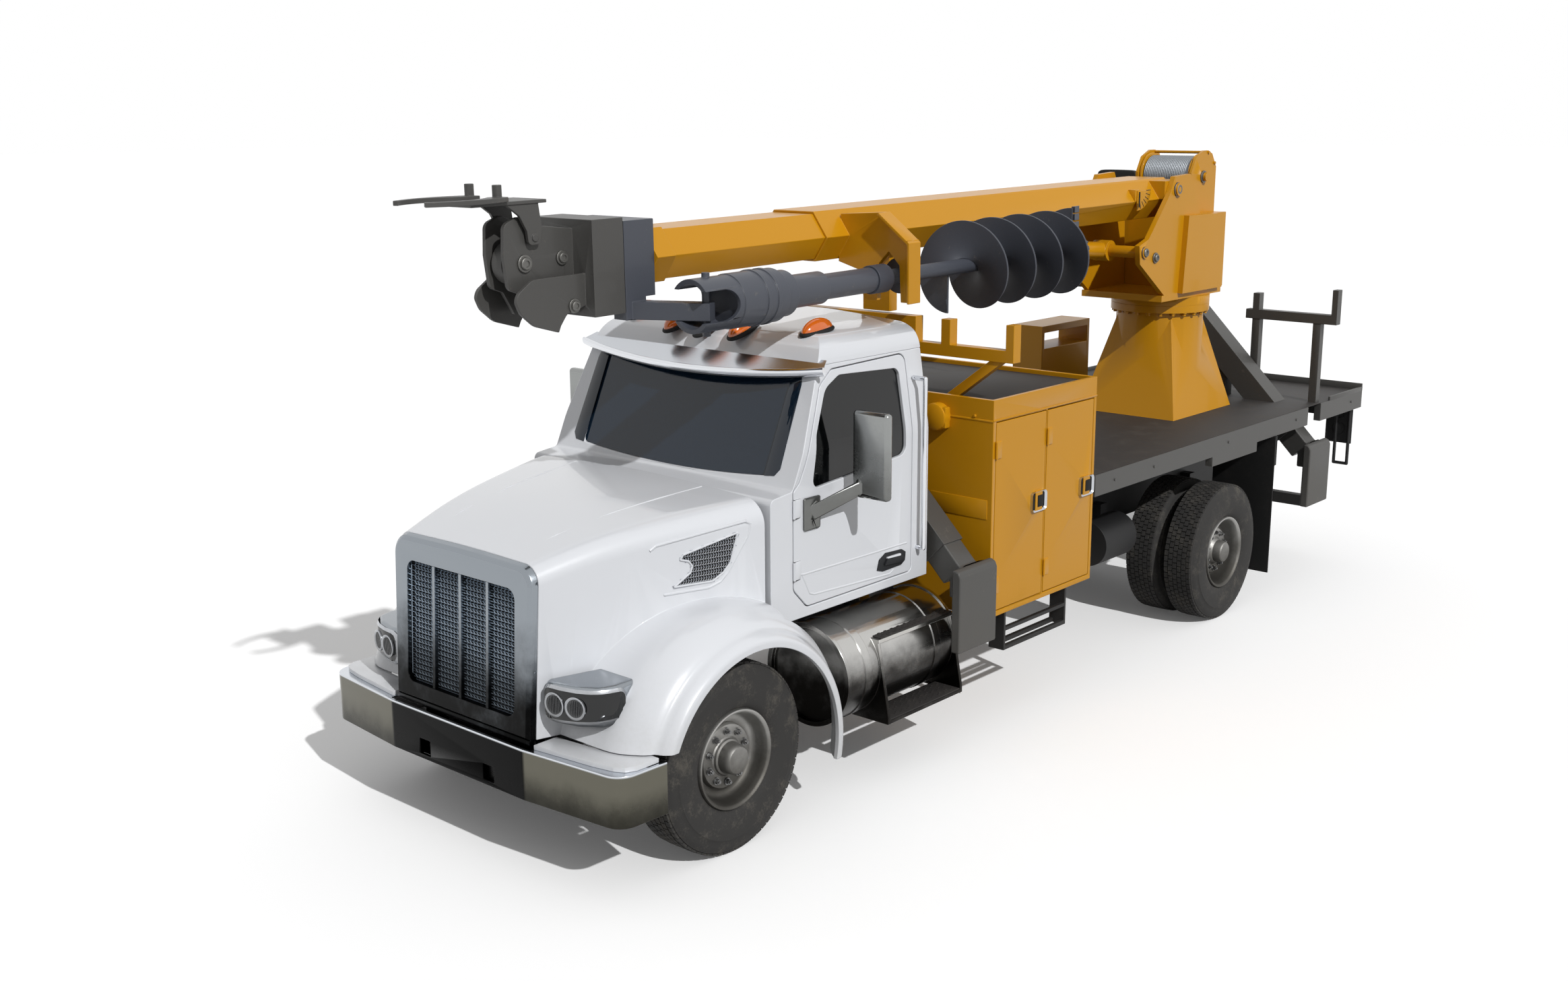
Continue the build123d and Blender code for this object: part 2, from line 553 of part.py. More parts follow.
# Cab inside
seats = []
for y in (480, -480):
    seat = box(1760, 2260, y - 260, y + 260, 1175, 1560) + box(1640, 1790, y - 260, y + 260, 1175, 2200)
    seats.append(seat)
DASH_X = CAB_FRONT_X - CAB_WALL - GAP
dash = side([(DASH_X, 1400), (DASH_X, 1785), (2650, 1812), (2560, 1760), (2600, 1500)], -900, 900)
wheel_ring = Plane(origin=(2440, 480, 1850), z_dir=(-0.8, 0, 0.6)) * (Torus(225, 17) + Cylinder(40, 40))
spokes = Plane(origin=(2440, 480, 1850), z_dir=(-0.8, 0, 0.6)) * (Box(440, 34, 16))
column = tube([(2440, 480, 1850), (2580, 480, 1745)], 28)
save("cab_interior", *seats, dash + wheel_ring + spokes + column)

# Fuel tanks with step boxes
TANK = (840, 690, 310)
TANK_X = (1360, 2440)
STRAP_X = (1560, 2240)
tanks = []
steps = []
for s in (1, -1):
    tank = rod_x(TANK[0] * s, TANK[1], TANK[2], *TANK_X)
    for x in (TANK_X[0], TANK_X[1] - 28):
        tank = tank + rod_x(TANK[0] * s, TANK[1], TANK[2] + 9, x, x + 28)
    for x in TANK_X:
        tank = tank - rod_x(TANK[0] * s, TANK[1], TANK[2] - 22, x - 30, x + 30)
    for x in STRAP_X:
        tank = tank + rod_x(TANK[0] * s, TANK[1], TANK[2] + 6, x - 32, x + 32)
    hang = box(1500, 1600, RAIL_Y * s, 560 * s, 780, 960) + box(2200, 2300, RAIL_Y * s, 560 * s, 780, 960)
    tanks.append(tank + hang)
    outline = [(1000, 905), (1130, 880), (1215, 420), (1215, 375), (900, 375), (900, 905)]
    plates = across([(y * s, z) for y, z in outline], 2110, 2134)
    plates = plates + across([(y * s, z) for y, z in outline], 1376, 1400)
    plates = plates + box(1376, 2134, 1010 * s, 1140 * s, 868, 892) + box(1376, 2134, 1000 * s, 1215 * s,
                                                                          376, 400)
    steps.append(plates)
save("fuel_tanks", *[tank + step for tank, step in zip(tanks, steps)])

# Service cabinet across the frame, hollow, open at the sides for its doors
x0, x1 = CABINET_X
z0, z1 = CABINET_Z
cabinet = box(x0, x1, -BODY_Y, BODY_Y, z0, z1)
cabinet = cabinet - box(x0 + WALL, x1 - WALL, -450, 450, z0 - 10, 2060) - box(x0 - 5, x1 + 5, -450, 450,
                                                                              z0 - 10, RAIL_Z[1])
cabinet = cabinet - box(x0 + WALL, x1 - WALL, -BODY_Y + WALL, BODY_Y - WALL, 2100, z1 + 10)
DOOR_SPANS = ((500, 1075), (-86, 490))
for s, word in ((1, "left"), (-1, "right")):
    cabinet = cabinet - box(x0 + WALL, x1 - WALL, 480 * s, (BODY_Y - WALL) * s, z0 + WALL, 2060)
    for (a, b), place in zip(DOOR_SPANS, ("front", "rear")):
        cabinet = cabinet - box(a, b, 1000 * s, (BODY_Y + 5) * s, 825, 2060)
        leaf = box(a + SEAM, b - SEAM, (BODY_Y - WALL) * s, BODY_Y * s, 825 + SEAM, 2060 - SEAM)
        latch = box(a + 40, a + 120, BODY_Y * s, (BODY_Y + 14) * s, 1400, 1540)
        save(f"cabinet_door_{place}_{word}", leaf + latch + barrels(b, BODY_Y, (1000, 1880), s))
save("service_cabinet", cabinet)

step_frames = []
for s in (1, -1):
    part = box(120, 140, 1060 * s, 1180 * s, 510, 790) + box(850, 870, 1060 * s, 1180 * s, 510, 790)
    part = part + box(120, 870, 1150 * s, 1180 * s, 510, 540) + box(120, 870, 1150 * s, 1180 * s, 640, 665)
    part = part + box(120, 870, 1060 * s, 1090 * s, 510, 540)
    step_frames.append(part)

# Flatbed
bx0, bx1 = BED_X
bed = box(bx0, bx1, -BODY_Y, BODY_Y, BED_TOP - 32, BED_TOP)
for s in (1, -1):
    bed = bed + box(bx0, bx1, (BODY_Y - 60) * s, BODY_Y * s, 1360, BED_TOP)
    bed = bed + box(-2600, -1850, (BODY_Y - 60) * s, BODY_Y * s, 1285, 1400)
    bed = bed + box(bx0 + 10, bx1 - 10, (RAIL_Y - 80) * s, RAIL_Y * s, RAIL_Z[1], BED_TOP - 20)
for x in (bx0 + 30, -4000, -3200, -2736, -2200, -1500, -850, bx1 - 30):
    bed = bed + box(x - 30, x + 30, -BODY_Y + 10, BODY_Y - 10, 1380, BED_TOP - 10)
for s in (1, -1):
    slot = box(LEG_X[1] - 122, LEG_X[1] + 122, 500 * s, BODY_Y * s + 10 * s, 1000, 1600)
    bed = bed - slot
save("flatbed", bed)

# Outriggers
TUBE = 200
LEG = 180
TIP = (1150, 1130)


def lean(shape, x, s):
    """Stand a piece made along Z on the leaning line through the boot's joint."""
    placed = Pos(x, TIP[0], TIP[1]) * Rot(LEG_ANGLE, 0, 0) * shape
    return placed if s > 0 else flip(placed)


housings = []
for (x, place) in zip(LEG_X, ("front", "rear")):
    for s, word in ((1, "left"), (-1, "right")):
        top_length = 1330
        outer = Pos(0, 0, 180) * Box(TUBE, TUBE, top_length, align=(Align.CENTER, Align.CENTER, Align.MIN))
        inner = Pos(0, 0, 170) * Box(LEG + 2 * GAP, LEG + 2 * GAP, 1240,
                                     align=(Align.CENTER, Align.CENTER, Align.MIN))
        housing = lean(outer - inner, x, s)
        housing = housing & box(x - 300, x + 300, 2 * s, 2000 * s, 0, 3000)
        post = box(x - 60, x + 60, (RAIL_Y - 70) * s, RAIL_Y * s, RAIL_Z[1], 1700)
        post = post + box(x - 60, x + 60, (RAIL_Y - 250) * s, RAIL_Y * s, 1560, 1960)
        housing = housing + (post - lean(inner, x, s) - lean(outer, x, s))
        if place == "rear":
            housing = housing - bed
        housings.append(housing)
        leg = Box(LEG, LEG, 1380, align=(Align.CENTER, Align.CENTER, Align.MIN))
        arm = lean(leg, x, s)
        boot_side = [(1235, 680), (BOOT_Y, 680), (BOOT_Y, 1165), (BOOT_Y - 14, 1198), (BOOT_Y - 40, 1210),
                     (1235, 1210)]
        boot = across([(y * s, z) for y, z in boot_side], x - 190, x + 210)
        boot = boot + box(x - 90, x + 90, 1130 * s, 1240 * s, 990, 1200)
        save(f"outrigger_{place}_{word}", arm + boot)


save("outrigger_housings", *housings)

# Pedestal
base = make_face(Polyline([(-3224, -205, BED_TOP), (-2248, -205, BED_TOP), (-2248, 665, BED_TOP),
                           (-3224, 665, BED_TOP)], close=True))
crown = Pos(SLEW_X, AXIS_Y, RING_Z[0]) * Rectangle(480, 470)
pedestal = loft([base, crown]) + rod_z(SLEW_X, AXIS_Y, 350, 1700, RING_Z[0] + 1)
pedestal = pedestal + rod_z(SLEW_X, AXIS_Y, RING_R, RING_Z[0], RING_Z[1])

# Racks, side box, mud flaps, rear fittings
rack = box(960, 1040, -500, 560, 2590, RACK_TOP) + box(960, 1040, 500, 560, 2480, 2600)
rack = rack + box(960, 1040, 500, 1310, 2430, 2505)
rack = rack + box(960, 1040, 760, 830, 2500, RACK_TOP) + box(960, 1040, 1250, 1310, 2500, RACK_TOP)
rack = rack + bar((1000, 1230, 2470), (1000, 740, 2105), 60, 60)
rack = rack + box(960, 1040, -500, -440, 2100, 2600) + box(960, 1040, 200, 260, 2100, 2600)
rack = rack - cabinet
save("front_rack", max(rack.solids(), key=lambda p: p.volume))

RACK_X = -3795
rear_rack = box(RACK_X - 35, RACK_X + 35, 1105, 1175, BED_TOP, 2230) + box(RACK_X - 35, RACK_X + 35, 560,
                                                                           630, BED_TOP, 2230)
rear_rack = rear_rack + box(RACK_X - 40, RACK_X + 40, 500, 1310, 2180, 2260)
rear_rack = rear_rack + box(RACK_X - 40, RACK_X + 40, 1260, 1310, 2250, 2470) + box(RACK_X - 40,
                                                                                    RACK_X + 40, 560, 620,
                                                                                    2250, 2400)
save("rear_rack", rear_rack)

side_box = box(-3525, -2740, -1200, -900, BED_TOP, 1890)
bench = box(-3525, -2740, -1200, -900, 2030, 2090)
for x in (-3525, -2780):
    bench = bench + box(x, x + 40, -1200, -900, 1890, 2035)
save("pedestal_and_side_box", pedestal, side_box + bench)

flaps = []
for s in (1, -1):
    flap = box(-2912, -2900, 700 * s, 1235 * s, 220, 1130) + box(-2940, -2900, 640 * s, 1235 * s, 1120,
                                                                 1360)
    flap = flap + box(-2940, -2900, 640 * s, 1150 * s, 1350, BED_TOP - 32)
    flaps.append(flap - bed)
save("mud_flaps", *[max(p.solids(), key=lambda q: q.volume) for p in flaps])

tails = []
for s in (1, -1):
    plate = box(-4640, -4625, 910 * s, 1150 * s, 1020, 1400) - bed
    loop = tube([(-4616, 1130 * s, 1340), (-4616, 1130 * s, 840), (-4616, 1010 * s, 840),
                 (-4616, 1010 * s, 1340)], 14)
    tails.append(plate + loop)
save("steps_and_tail_plates", *step_frames, *tails)

under = box(-4560, -4480, -800, 800, 420, 520)
for s in (1, -1):
    under = under + box(-4550, -4490, 360 * s, 430 * s, 500, RAIL_Z[0])
under = under + box(-4625, -4595, -430, 430, 760, 1000)

air = []
for s in (1, -1):
    air.append(rod_x(740 * s, 800, 170, -1300, -860) + box(-1120, -1040, RAIL_Y * s, 600 * s, 780, 900))
frame = frame + under + air[0] + air[1]
for y in (-22.25, 22.25):
    for z in (880 - 42.85, 880 + 42.85):
        frame = frame - rod_x(y, z, 6.75, -4640, -4580)
save("frame_rails", frame)

# Turret
ty0, ty1 = AXIS_Y - 360, AXIS_Y + 360
turret = rod_z(SLEW_X, AXIS_Y, RING_R, RING_Z[1] + GAP, RING_Z[2]) + box(-3080, -2100, ty0, ty1, RING_Z[2],
                                                                         DECK_TOP)
wing = [(-2150, DECK_TOP - 10), (-1740, 2790), (-1720, 2930), (-1860, 2975), (-2150, 3290), (-2226, 3432),
        (-2473, 3444),
        (-2663, 3121), (-2700, DECK_TOP - 10)]
for y in (ty0, ty1 - 40):
    turret = turret + side(wing, y, y + 40)
pin_hole = rod_y(*PIVOT, 55, ty0 - 10, ty1 + 10)
turret = turret + rod_y(*PIVOT, 50, ty0 - 25, ty1 + 25)
turret = turret + rod_y(*LIFT_BASE, 45, ty0 - 15, ty1 + 15)
cover = box(-3105, -2705, ty0, ty1, DECK_TOP, 3120) - box(-3085, -2725, ty0 + 20, ty1 - 20, DECK_TOP - 5,
                                                          3100)

WINCH = (-2890, 3405)
flange = [(-3105, 3118), (-3105, 3480), (-3030, 3585), (-2960, 3612), (-2880, 3612), (-2760, 3560),
          (-2690, 3440),
          (-2690, 3118)]
winch_frame = side(flange, -20, 0) + side(flange, 460, 480)
winch_frame = winch_frame + box(-3105, -2705, -20, 480, 3118, 3140)
for x, z in ((-3070, 3510), (-2960, 3596)):
    winch_frame = winch_frame + rod_y(x, z, 12, -30, 490)
winch_frame = winch_frame + rod_y(*WINCH, 35, -60, 520)
near_cover = side([(-2349, DECK_TOP), (-2400, 3125), (-2884, 3120), (-2975, 3040), (-3008, DECK_TOP)],
                  ty1 - 5, ty1 + 45)
turret = turret + near_cover
save("turret", turret + cover + winch_frame)
drum = rod_y(*WINCH, 130, 6, 454) + rod_y(*WINCH, 185, 6, 24) + rod_y(*WINCH, 185, 436, 454)
drum = drum - rod_y(*WINCH, 35.1, 0, 460)
save("winch_drum", drum)

# operator's seat, its back and a console on a side platform
station = box(-3450, -2600, -720, ty0, 2480, DECK_TOP) + box(-3110, -2710, -640, -240, DECK_TOP, 2960)
station = station + box(-3210, -3090, -640, -240, DECK_TOP, 3440)
station = station + box(-2670, -2610, -640, -240, DECK_TOP, 3150)
save("operator_station", station)


# Boom, built level and then lowered about its pivot
def hex_tube(inset, x0, x1):
    a, b, c = BOOM_HALF
    pts = [(a, BOOM_TOP), (b, BOOM_KNEE), (c, BOOM_LOW), (-c, BOOM_LOW), (-b, BOOM_KNEE), (-a, BOOM_TOP)]
    face = make_face(Polyline([(x0, AXIS_Y + y, z) for y, z in pts], close=True))
    if inset:
        face = offset(face, -inset, kind=Kind.INTERSECTION)
    return extrude(face, amount=x1 - x0, dir=(1, 0, 0))


def drop(shape):
    return turn_y(shape, *PIVOT, -BOOM_DROP)


bx0, bx1 = BOOM_X
boom = hex_tube(0, bx0, bx1) - hex_tube(14, bx0 + 40, bx1 + 10)
boom = boom + box(bx0, -2150, AXIS_Y - 318, AXIS_Y + 318, 3260, 3400) - rod_y(*PIVOT, 50.2, ty0, ty1)
for y in (AXIS_Y - 98, AXIS_Y + 68):
    boom = boom + side([(-900, BOOM_LOW + 5), (-700, 2915), (-500, 2915), (-300, BOOM_LOW + 5)], y, y + 30)
boom = boom - rod_y(LIFT_EYE[0], LIFT_EYE[1] + 20, 30, -400, 800)
bracket = across([(410, 3100), (430, 3390), (760, 3410), (990, 3240), (990, 2880), (890, 2880), (880, 3100),
                  (800, 3180), (720, 3100), (710, 2880), (610, 2880), (560, 3060)], 1600, 1640)
bracket = bracket + across([(990, 3240), (990, 2880), (974, 2880), (974, 3252)], 1575, 1690)
bracket = bracket + across([(760, 3410), (990, 3240), (978, 3226), (750, 3394)], 1575, 1690)
bracket = bracket - hex_tube(0, bx0, bx1)
boom = boom + bracket
foot = box(960, 1040, AXIS_Y - 110, AXIS_Y + 110, 2720, BOOM_LOW)
foot_placed = drop(foot) - box(500, 1500, -1000, 1000, 2000, RACK_TOP + GAP)

second = hex_tube(14 + GAP, -2000, SECOND_END) + hex_tube(2, 3120, SECOND_END) - hex_tube(32, -2010,
                                                                                          SECOND_END + 10)
save("boom_outer", drop(boom) + foot_placed, drop(second))
collar = box(SECOND_END, 3478, AXIS_Y - 240, AXIS_Y + 240, 3060, 3470)
collar = collar + box(3330, 3478, AXIS_Y + 140, AXIS_Y + 240, 2944, 3070)
collar = collar - hex_tube(32, 3200, 3500)
ARM_Z = 2992
arm = bar((3400, AXIS_Y + 200, ARM_Z), (3205, AUGER_Y + 40, ARM_Z), 95, 95) - rod_z(3210, AUGER_Y, 22.2,
                                                                                    2700, 3300)
collar = collar + (arm - box(3478, 3800, -500, 1200, 2000, 4000))

third = hex_tube(32 + GAP, -1500, 3500) - hex_tube(46, -1510, 3480)
nose = box(3481, 3700, AXIS_Y - 240, AXIS_Y + 240, 2985, 3490)
CHEEK = [(3690, 3010), (3690, 3440), (3920, 3470), (4050, 3525), (4150, 3490), (4160, 3330), (4140, 3160),
         (4060, 3130),
         (3990, 3010)]
SICKLE = [(3676, 3213), (4054, 3209), (4150, 3146), (4166, 3105), (4138, 3042), (4053, 2971), (3892, 2923),
          (3876, 2956),
          (3828, 3016), (3757, 3027), (3656, 3059)]
cheek = SIDE * rounded(CHEEK, {3: 60, 4: 50, 6: 40})
sickle = SIDE * rounded(SICKLE, {1: 80, 2: 60, 3: 40, 4: 80, 5: 120, 8: 60})
head = nose
for s in (1, -1):
    head = head + through(cheek, AXIS_Y + 72.5 * s - 12.5, AXIS_Y + 72.5 * s + 12.5)
    head = head + through(sickle, AXIS_Y + 161 * s - 11, AXIS_Y + 161 * s + 11)
SHEAVE = (4030, 3285)
head = head + rod_y(3785, 3051, 28, AXIS_Y - 180, AXIS_Y + 180) + rod_y(3781, 3296, 24, AXIS_Y - 92,
                                                                        AXIS_Y + 92)
head = head + rod_y(*SHEAVE, 30, AXIS_Y - 90, AXIS_Y + 90) + rod_y(*SHEAVE, 112, AXIS_Y - 40, AXIS_Y + 40)
save("boom_head", drop(third + head))

# Pole guide
GUIDE = (3982, 3415)
GUIDE_TOP = 3605
GUIDE_ARM = [(3945, 3378), (3930, 3450), (3950, GUIDE_TOP - 8), (4170, GUIDE_TOP - 8), (4075, 3530),
             (4030, 3450),
             (4020, 3378)]
guide = box(3900, 4380, AXIS_Y - 130, AXIS_Y + 130, GUIDE_TOP - 18, GUIDE_TOP)
for s in (1, -1):
    guide = guide + through(SIDE * rounded(GUIDE_ARM, {0: 25, 6: 25}), AXIS_Y + 111 * s - 11,
                            AXIS_Y + 111 * s + 11)
    guide = guide + rod_y(*GUIDE, 20, AXIS_Y + (85 + GAP) * s, AXIS_Y + 130 * s)
save("pole_guide", drop(guide))
TONG_PIN = (4200, 110)
TONG_Z = (GUIDE_TOP + GAP, GUIDE_TOP + 25)
for s, word in ((1, "left"), (-1, "right")):
    near, far = AXIS_Y + 75 * s, AXIS_Y + 150 * s
    back = Polyline([(4240, near), (4160, near), (4160, far)])
    outer = ThreePointArc((4160, far), (4420, AXIS_Y + 205 * s), (4650, AXIS_Y + 130 * s))
    tip = Line((4650, AXIS_Y + 130 * s), (4638, AXIS_Y + 104 * s))
    inner = ThreePointArc((4638, AXIS_Y + 104 * s), (4430, AXIS_Y + 160 * s), (4240, near))
    tong = extrude(Pos(0, 0, TONG_Z[0]) * make_face(list(back.edges()) + [outer, tip, inner]),
                   amount=TONG_Z[1] - TONG_Z[0],
                   dir=(0, 0, 1))
    tong = tong + rod_z(TONG_PIN[0], AXIS_Y + TONG_PIN[1] * s, 24, TONG_Z[0], GUIDE_TOP + 85)
    save(f"tong_{word}", drop(tong))

# Auger with its drive
DRIVE_TABLE = [
    # radius, rear x, front x
    (150, 2700, 3060), (156, 2770, 2800), (156, 2850, 2880), (130, 2600, 2700), (94, 2290, 2600),
    (74, 1826, 2290),
]
drive = None
for r, rear, front in DRIVE_TABLE:
    step = rod_x(AUGER_Y, AUGER_Z, r, rear, front)
    drive = step if drive is None else drive + step
# the yoke is a cup cut open at the sides for the arm and its pin
CUP_R = 145
SLOT = 84
PIN_X = 3210
cup = rod_x(AUGER_Y, AUGER_Z, CUP_R, 3050, 3330) - rod_x(AUGER_Y, AUGER_Z, CUP_R - 26, 3075, 3340)
slot = rod_y(3178, AUGER_Z, SLOT, AUGER_Y - 200, AUGER_Y + 200)
slot = slot + box(3178, 3600, AUGER_Y - 200, AUGER_Y + 200, AUGER_Z - SLOT, AUGER_Z + SLOT)
drive = drive + (cup - slot) + rod_z(PIN_X, AUGER_Y, 22, AUGER_Z - CUP_R - 25, AUGER_Z + CUP_R + 25)
save("boom_collar_and_auger_drive", drop(collar + drive))
SHAFT_END = -470
auger_shaft = rod_x(AUGER_Y, AUGER_Z, KELLY_R, SHAFT_END, 1826 - GAP)
auger_shaft = auger_shaft + rod_x(AUGER_Y, AUGER_Z, 85, 1690, 1826 - GAP) + rod_x(AUGER_Y, AUGER_Z, 108,
                                                                                  1512, 1545)
# pilot bit: a short cone with stepped cutters
bit = Pos(SHAFT_END, AUGER_Y, AUGER_Z) * Rot(0, -90, 0) * Cone(KELLY_R, 14, 150,
                                                               align=(Align.CENTER, Align.CENTER,
                                                                      Align.MIN))
for n, (reach, half) in enumerate(((40, 74), (80, 58), (120, 42))):
    fin = box(SHAFT_END - reach - 16, SHAFT_END - reach + 16, AUGER_Y - half, AUGER_Y + half, AUGER_Z - 9,
              AUGER_Z + 9)
    bit = bit + fin.rotate(Axis((0, AUGER_Y, AUGER_Z), (1, 0, 0)), 55 * n)
auger_shaft = auger_shaft + bit
PITCH = 320
TURNS = 4.5
T = 16


def helix(r, start):
    return Edge.make_helix(PITCH, PITCH * TURNS, r, center=(start, AUGER_Y, AUGER_Z), normal=(-1, 0, 0))


hx = 1040
ri, ro = KELLY_R + GAP, AUGER_R
oa, ob, ia, ib = helix(ro, hx), helix(ro, hx - T), helix(ri, hx), helix(ri, hx - T)
faces = [Face.make_surface_from_curves(oa, ia), Face.make_surface_from_curves(ob, ib),
         Face.make_surface_from_curves(oa, ob), Face.make_surface_from_curves(ia, ib)]
for u in (0, 1):
    corners = [oa @ u, ob @ u, ib @ u, ia @ u]
    faces.append(make_face(Polyline(corners, close=True)).face())
flight = Solid(Shell(faces))
# cutting teeth stand on the flight's rear edge
edge_out = Vector(0, (ob @ 1).Y - AUGER_Y, (ob @ 1).Z - AUGER_Z).normalized()
teeth = []
for reach in (110, 165, 220, 272):
    root = Vector(hx - T - PITCH * TURNS - GAP, AUGER_Y, AUGER_Z) + edge_out * reach
    seat = Plane(origin=root, x_dir=edge_out, z_dir=(-1, 0, 0))
    blade = loft([seat * Rectangle(42, 30), seat.offset(75) * Rectangle(46, 8)])
    teeth.append(drop(blade))
save("auger", drop(auger_shaft), drop(flight), *teeth)

# Lift cylinder: barrel on the turret, rod to the boom's ears
ang = math.degrees(math.atan2(LIFT_EYE[1] - LIFT_BASE[1], LIFT_EYE[0] - LIFT_BASE[0]))
reach = math.dist(LIFT_BASE, LIFT_EYE)
bx, bz = LIFT_BASE
barrel = rod_x(AXIS_Y, bz, 66, bx + 55, bx + reach - 160) - rod_x(AXIS_Y, bz, 38.2, bx + 100, bx + reach)
barrel = barrel + rod_y(bx, bz, 80, AXIS_Y - 70, AXIS_Y + 70) - rod_y(bx, bz, 45.2, AXIS_Y - 100,
                                                                      AXIS_Y + 100)
save("lift_barrel", turn_y(barrel, *LIFT_BASE, ang))
piston = rod_x(AXIS_Y, bz, 38, bx + 160, bx + reach - 50) + rod_y(bx + reach, bz, 62, AXIS_Y - 38,
                                                                  AXIS_Y + 38)
piston = piston - rod_y(bx + reach, bz, 30, AXIS_Y - 80, AXIS_Y + 80)
save("lift_rod", turn_y(piston, *LIFT_BASE, ang))
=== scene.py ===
# %% [markdown]
# # Dressing the digger derrick truck
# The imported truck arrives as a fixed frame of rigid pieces. This lesson keeps every piece where it
# is and gives it what a maker's drawing leaves out: softened edges, paint, tread, mesh, rope, lamps.

# %% Load the frame
import json
import math
import bmesh
import bpy
from mathutils import Matrix, Vector


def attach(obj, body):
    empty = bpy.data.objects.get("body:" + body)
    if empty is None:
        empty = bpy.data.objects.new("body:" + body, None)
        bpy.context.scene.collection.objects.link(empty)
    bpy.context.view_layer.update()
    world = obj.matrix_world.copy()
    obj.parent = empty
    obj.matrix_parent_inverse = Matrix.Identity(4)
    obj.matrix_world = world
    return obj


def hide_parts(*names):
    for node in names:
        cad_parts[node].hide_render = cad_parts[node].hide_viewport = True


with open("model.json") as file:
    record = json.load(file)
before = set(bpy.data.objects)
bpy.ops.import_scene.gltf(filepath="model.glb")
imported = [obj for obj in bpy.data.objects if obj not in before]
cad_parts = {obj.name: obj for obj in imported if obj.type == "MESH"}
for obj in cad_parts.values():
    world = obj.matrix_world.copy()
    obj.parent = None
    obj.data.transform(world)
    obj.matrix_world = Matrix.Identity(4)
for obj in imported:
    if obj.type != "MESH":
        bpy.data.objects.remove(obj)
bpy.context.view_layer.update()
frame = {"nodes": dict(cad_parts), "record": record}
body_of = {}
for body, members in frame["record"]["behaviour"]["bodies"].items():
    for member in members:
        body_of[member] = body
slot_of = {row["node"]: row["material_slot"] for row in frame["record"]["subparts"]}

# %% [markdown]
# The camera stands in front of the left corner, a little above the hood. Its place and its turn
# were worked out from straight edges of the truck, so they are written as plain numbers.

# %% Camera
EYE = Vector((9.4266, 6.8630, 3.9779))
YAW, PITCH, ROLL = -2.41594619, -0.23039789, -0.005778
LENS = 37.60
ahead = Vector((math.cos(PITCH) * math.cos(YAW), math.cos(PITCH) * math.sin(YAW), math.sin(PITCH)))
right = ahead.cross(Vector((0, 0, 1))).normalized()
up = right.cross(ahead)
right, up = (math.cos(ROLL) * right + math.sin(ROLL) * up, math.cos(ROLL) * up - math.sin(ROLL) * right)
turn = Matrix((right, up, -ahead)).transposed().to_4x4()
lens = bpy.data.cameras.new("view_camera")
lens.lens = LENS
lens.sensor_width = 36.0
lens.clip_end = 400.0
viewer = bpy.data.objects.new("view_camera", lens)
viewer.matrix_world = Matrix.Translation(EYE) @ turn
bpy.context.scene.collection.objects.link(viewer)
bpy.context.scene.camera = viewer
print("camera at", [round(v, 3) for v in EYE], "lens", LENS)

# %% [markdown]
# Materials are graphs of nodes, and writing them as sums is easier to read. A small class stands
# for one value on its way through a graph; adding or multiplying it adds a node.

# %% A wire through a material
class Wire:
    """One value or colour on its way through a node tree."""

    def __init__(self, tree, socket=None):
        self.tree = tree
        self.socket = socket

    def make(self, kind, settings=None, sockets=None, out=0):
        node = self.tree.nodes.new("ShaderNode" + kind)
        for name, value in (settings or {}).items():
            if name == "stops":
                while len(node.color_ramp.elements) < len(value):
                    node.color_ramp.elements.new(0.5)
                for stop, (place, shade) in zip(node.color_ramp.elements, value):
                    stop.position = place
                    stop.color = shade
            else:
                setattr(node, name, value)
        for name, value in (sockets or {}).items():
            if isinstance(value, Wire):
                self.tree.links.new(value.socket, node.inputs[name])
            else:
                node.inputs[name].default_value = value
        return Wire(self.tree, node.outputs[out])

    def math(self, operation, *values):
        return self.make("Math", {"operation": operation}, dict(enumerate(values)))

    def __add__(self, other):
        return self.math("ADD", self, other)

    def __rsub__(self, other):
        return self.math("SUBTRACT", other, self)

    def __mul__(self, other):
        return self.math("MULTIPLY", self, other)

    __radd__ = __add__
    __rmul__ = __mul__


def shade(red, green, blue):
    """A screen colour, 0 to 255, as the linear colour that light works with."""
    line = [v / 255 / 12.92 if v / 255 <= 0.04045 else ((v / 255 + 0.055) / 1.055) ** 2.4
            for v in (red, green, blue)]
    return (*line, 1.0)


def begin(name, **fixed):
    """A new material: its wire, its shader and a plug for the shader's sockets."""
    material = bpy.data.materials.new(name)
    material.use_nodes = True
    wire = Wire(material.node_tree)
    shader = material.node_tree.nodes["Principled BSDF"]
    for socket, value in fixed.items():
        shader.inputs[socket.replace("_", " ")].default_value = value

    def plug(sockets):
        for socket, value in sockets.items():
            material.node_tree.links.new(value.socket, shader.inputs[socket])

    return material, wire, plug


def place_of(wire, stretch=(1, 1, 1)):
    spot = wire.make("TexCoord", out="Object")
    return wire.make("Mapping", {}, {"Vector": spot, "Scale": stretch})


def noise(wire, spot, scale, detail=4, rough=0.55):
    return wire.make("TexNoise", {}, {"Vector": spot, "Scale": scale, "Detail": detail, "Roughness": rough})


def ramp(wire, value, low, high):
    """0 below low, 1 above high, smooth between."""
    return wire.make("MapRange", {"interpolation_type": "SMOOTHSTEP"},
                     {"Value": value, "From Min": low, "From Max": high})


def blend_of(wire, amount, first, second):
    return wire.make("Mix", {"data_type": "RGBA"}, {0: amount, 6: first, 7: second}, out=2)


def bump(wire, height, strength, distance):
    return wire.make("Bump", {}, {"Height": height, "Strength": strength, "Distance": distance}, out=0)


print("wire ready")

# %% [markdown]
# Enamel is colour under a clear coat. The coat gives the sharp reflection, and the colour under it
# is never quite even: dust gathers low down, and the sprayed surface has a faint ripple.

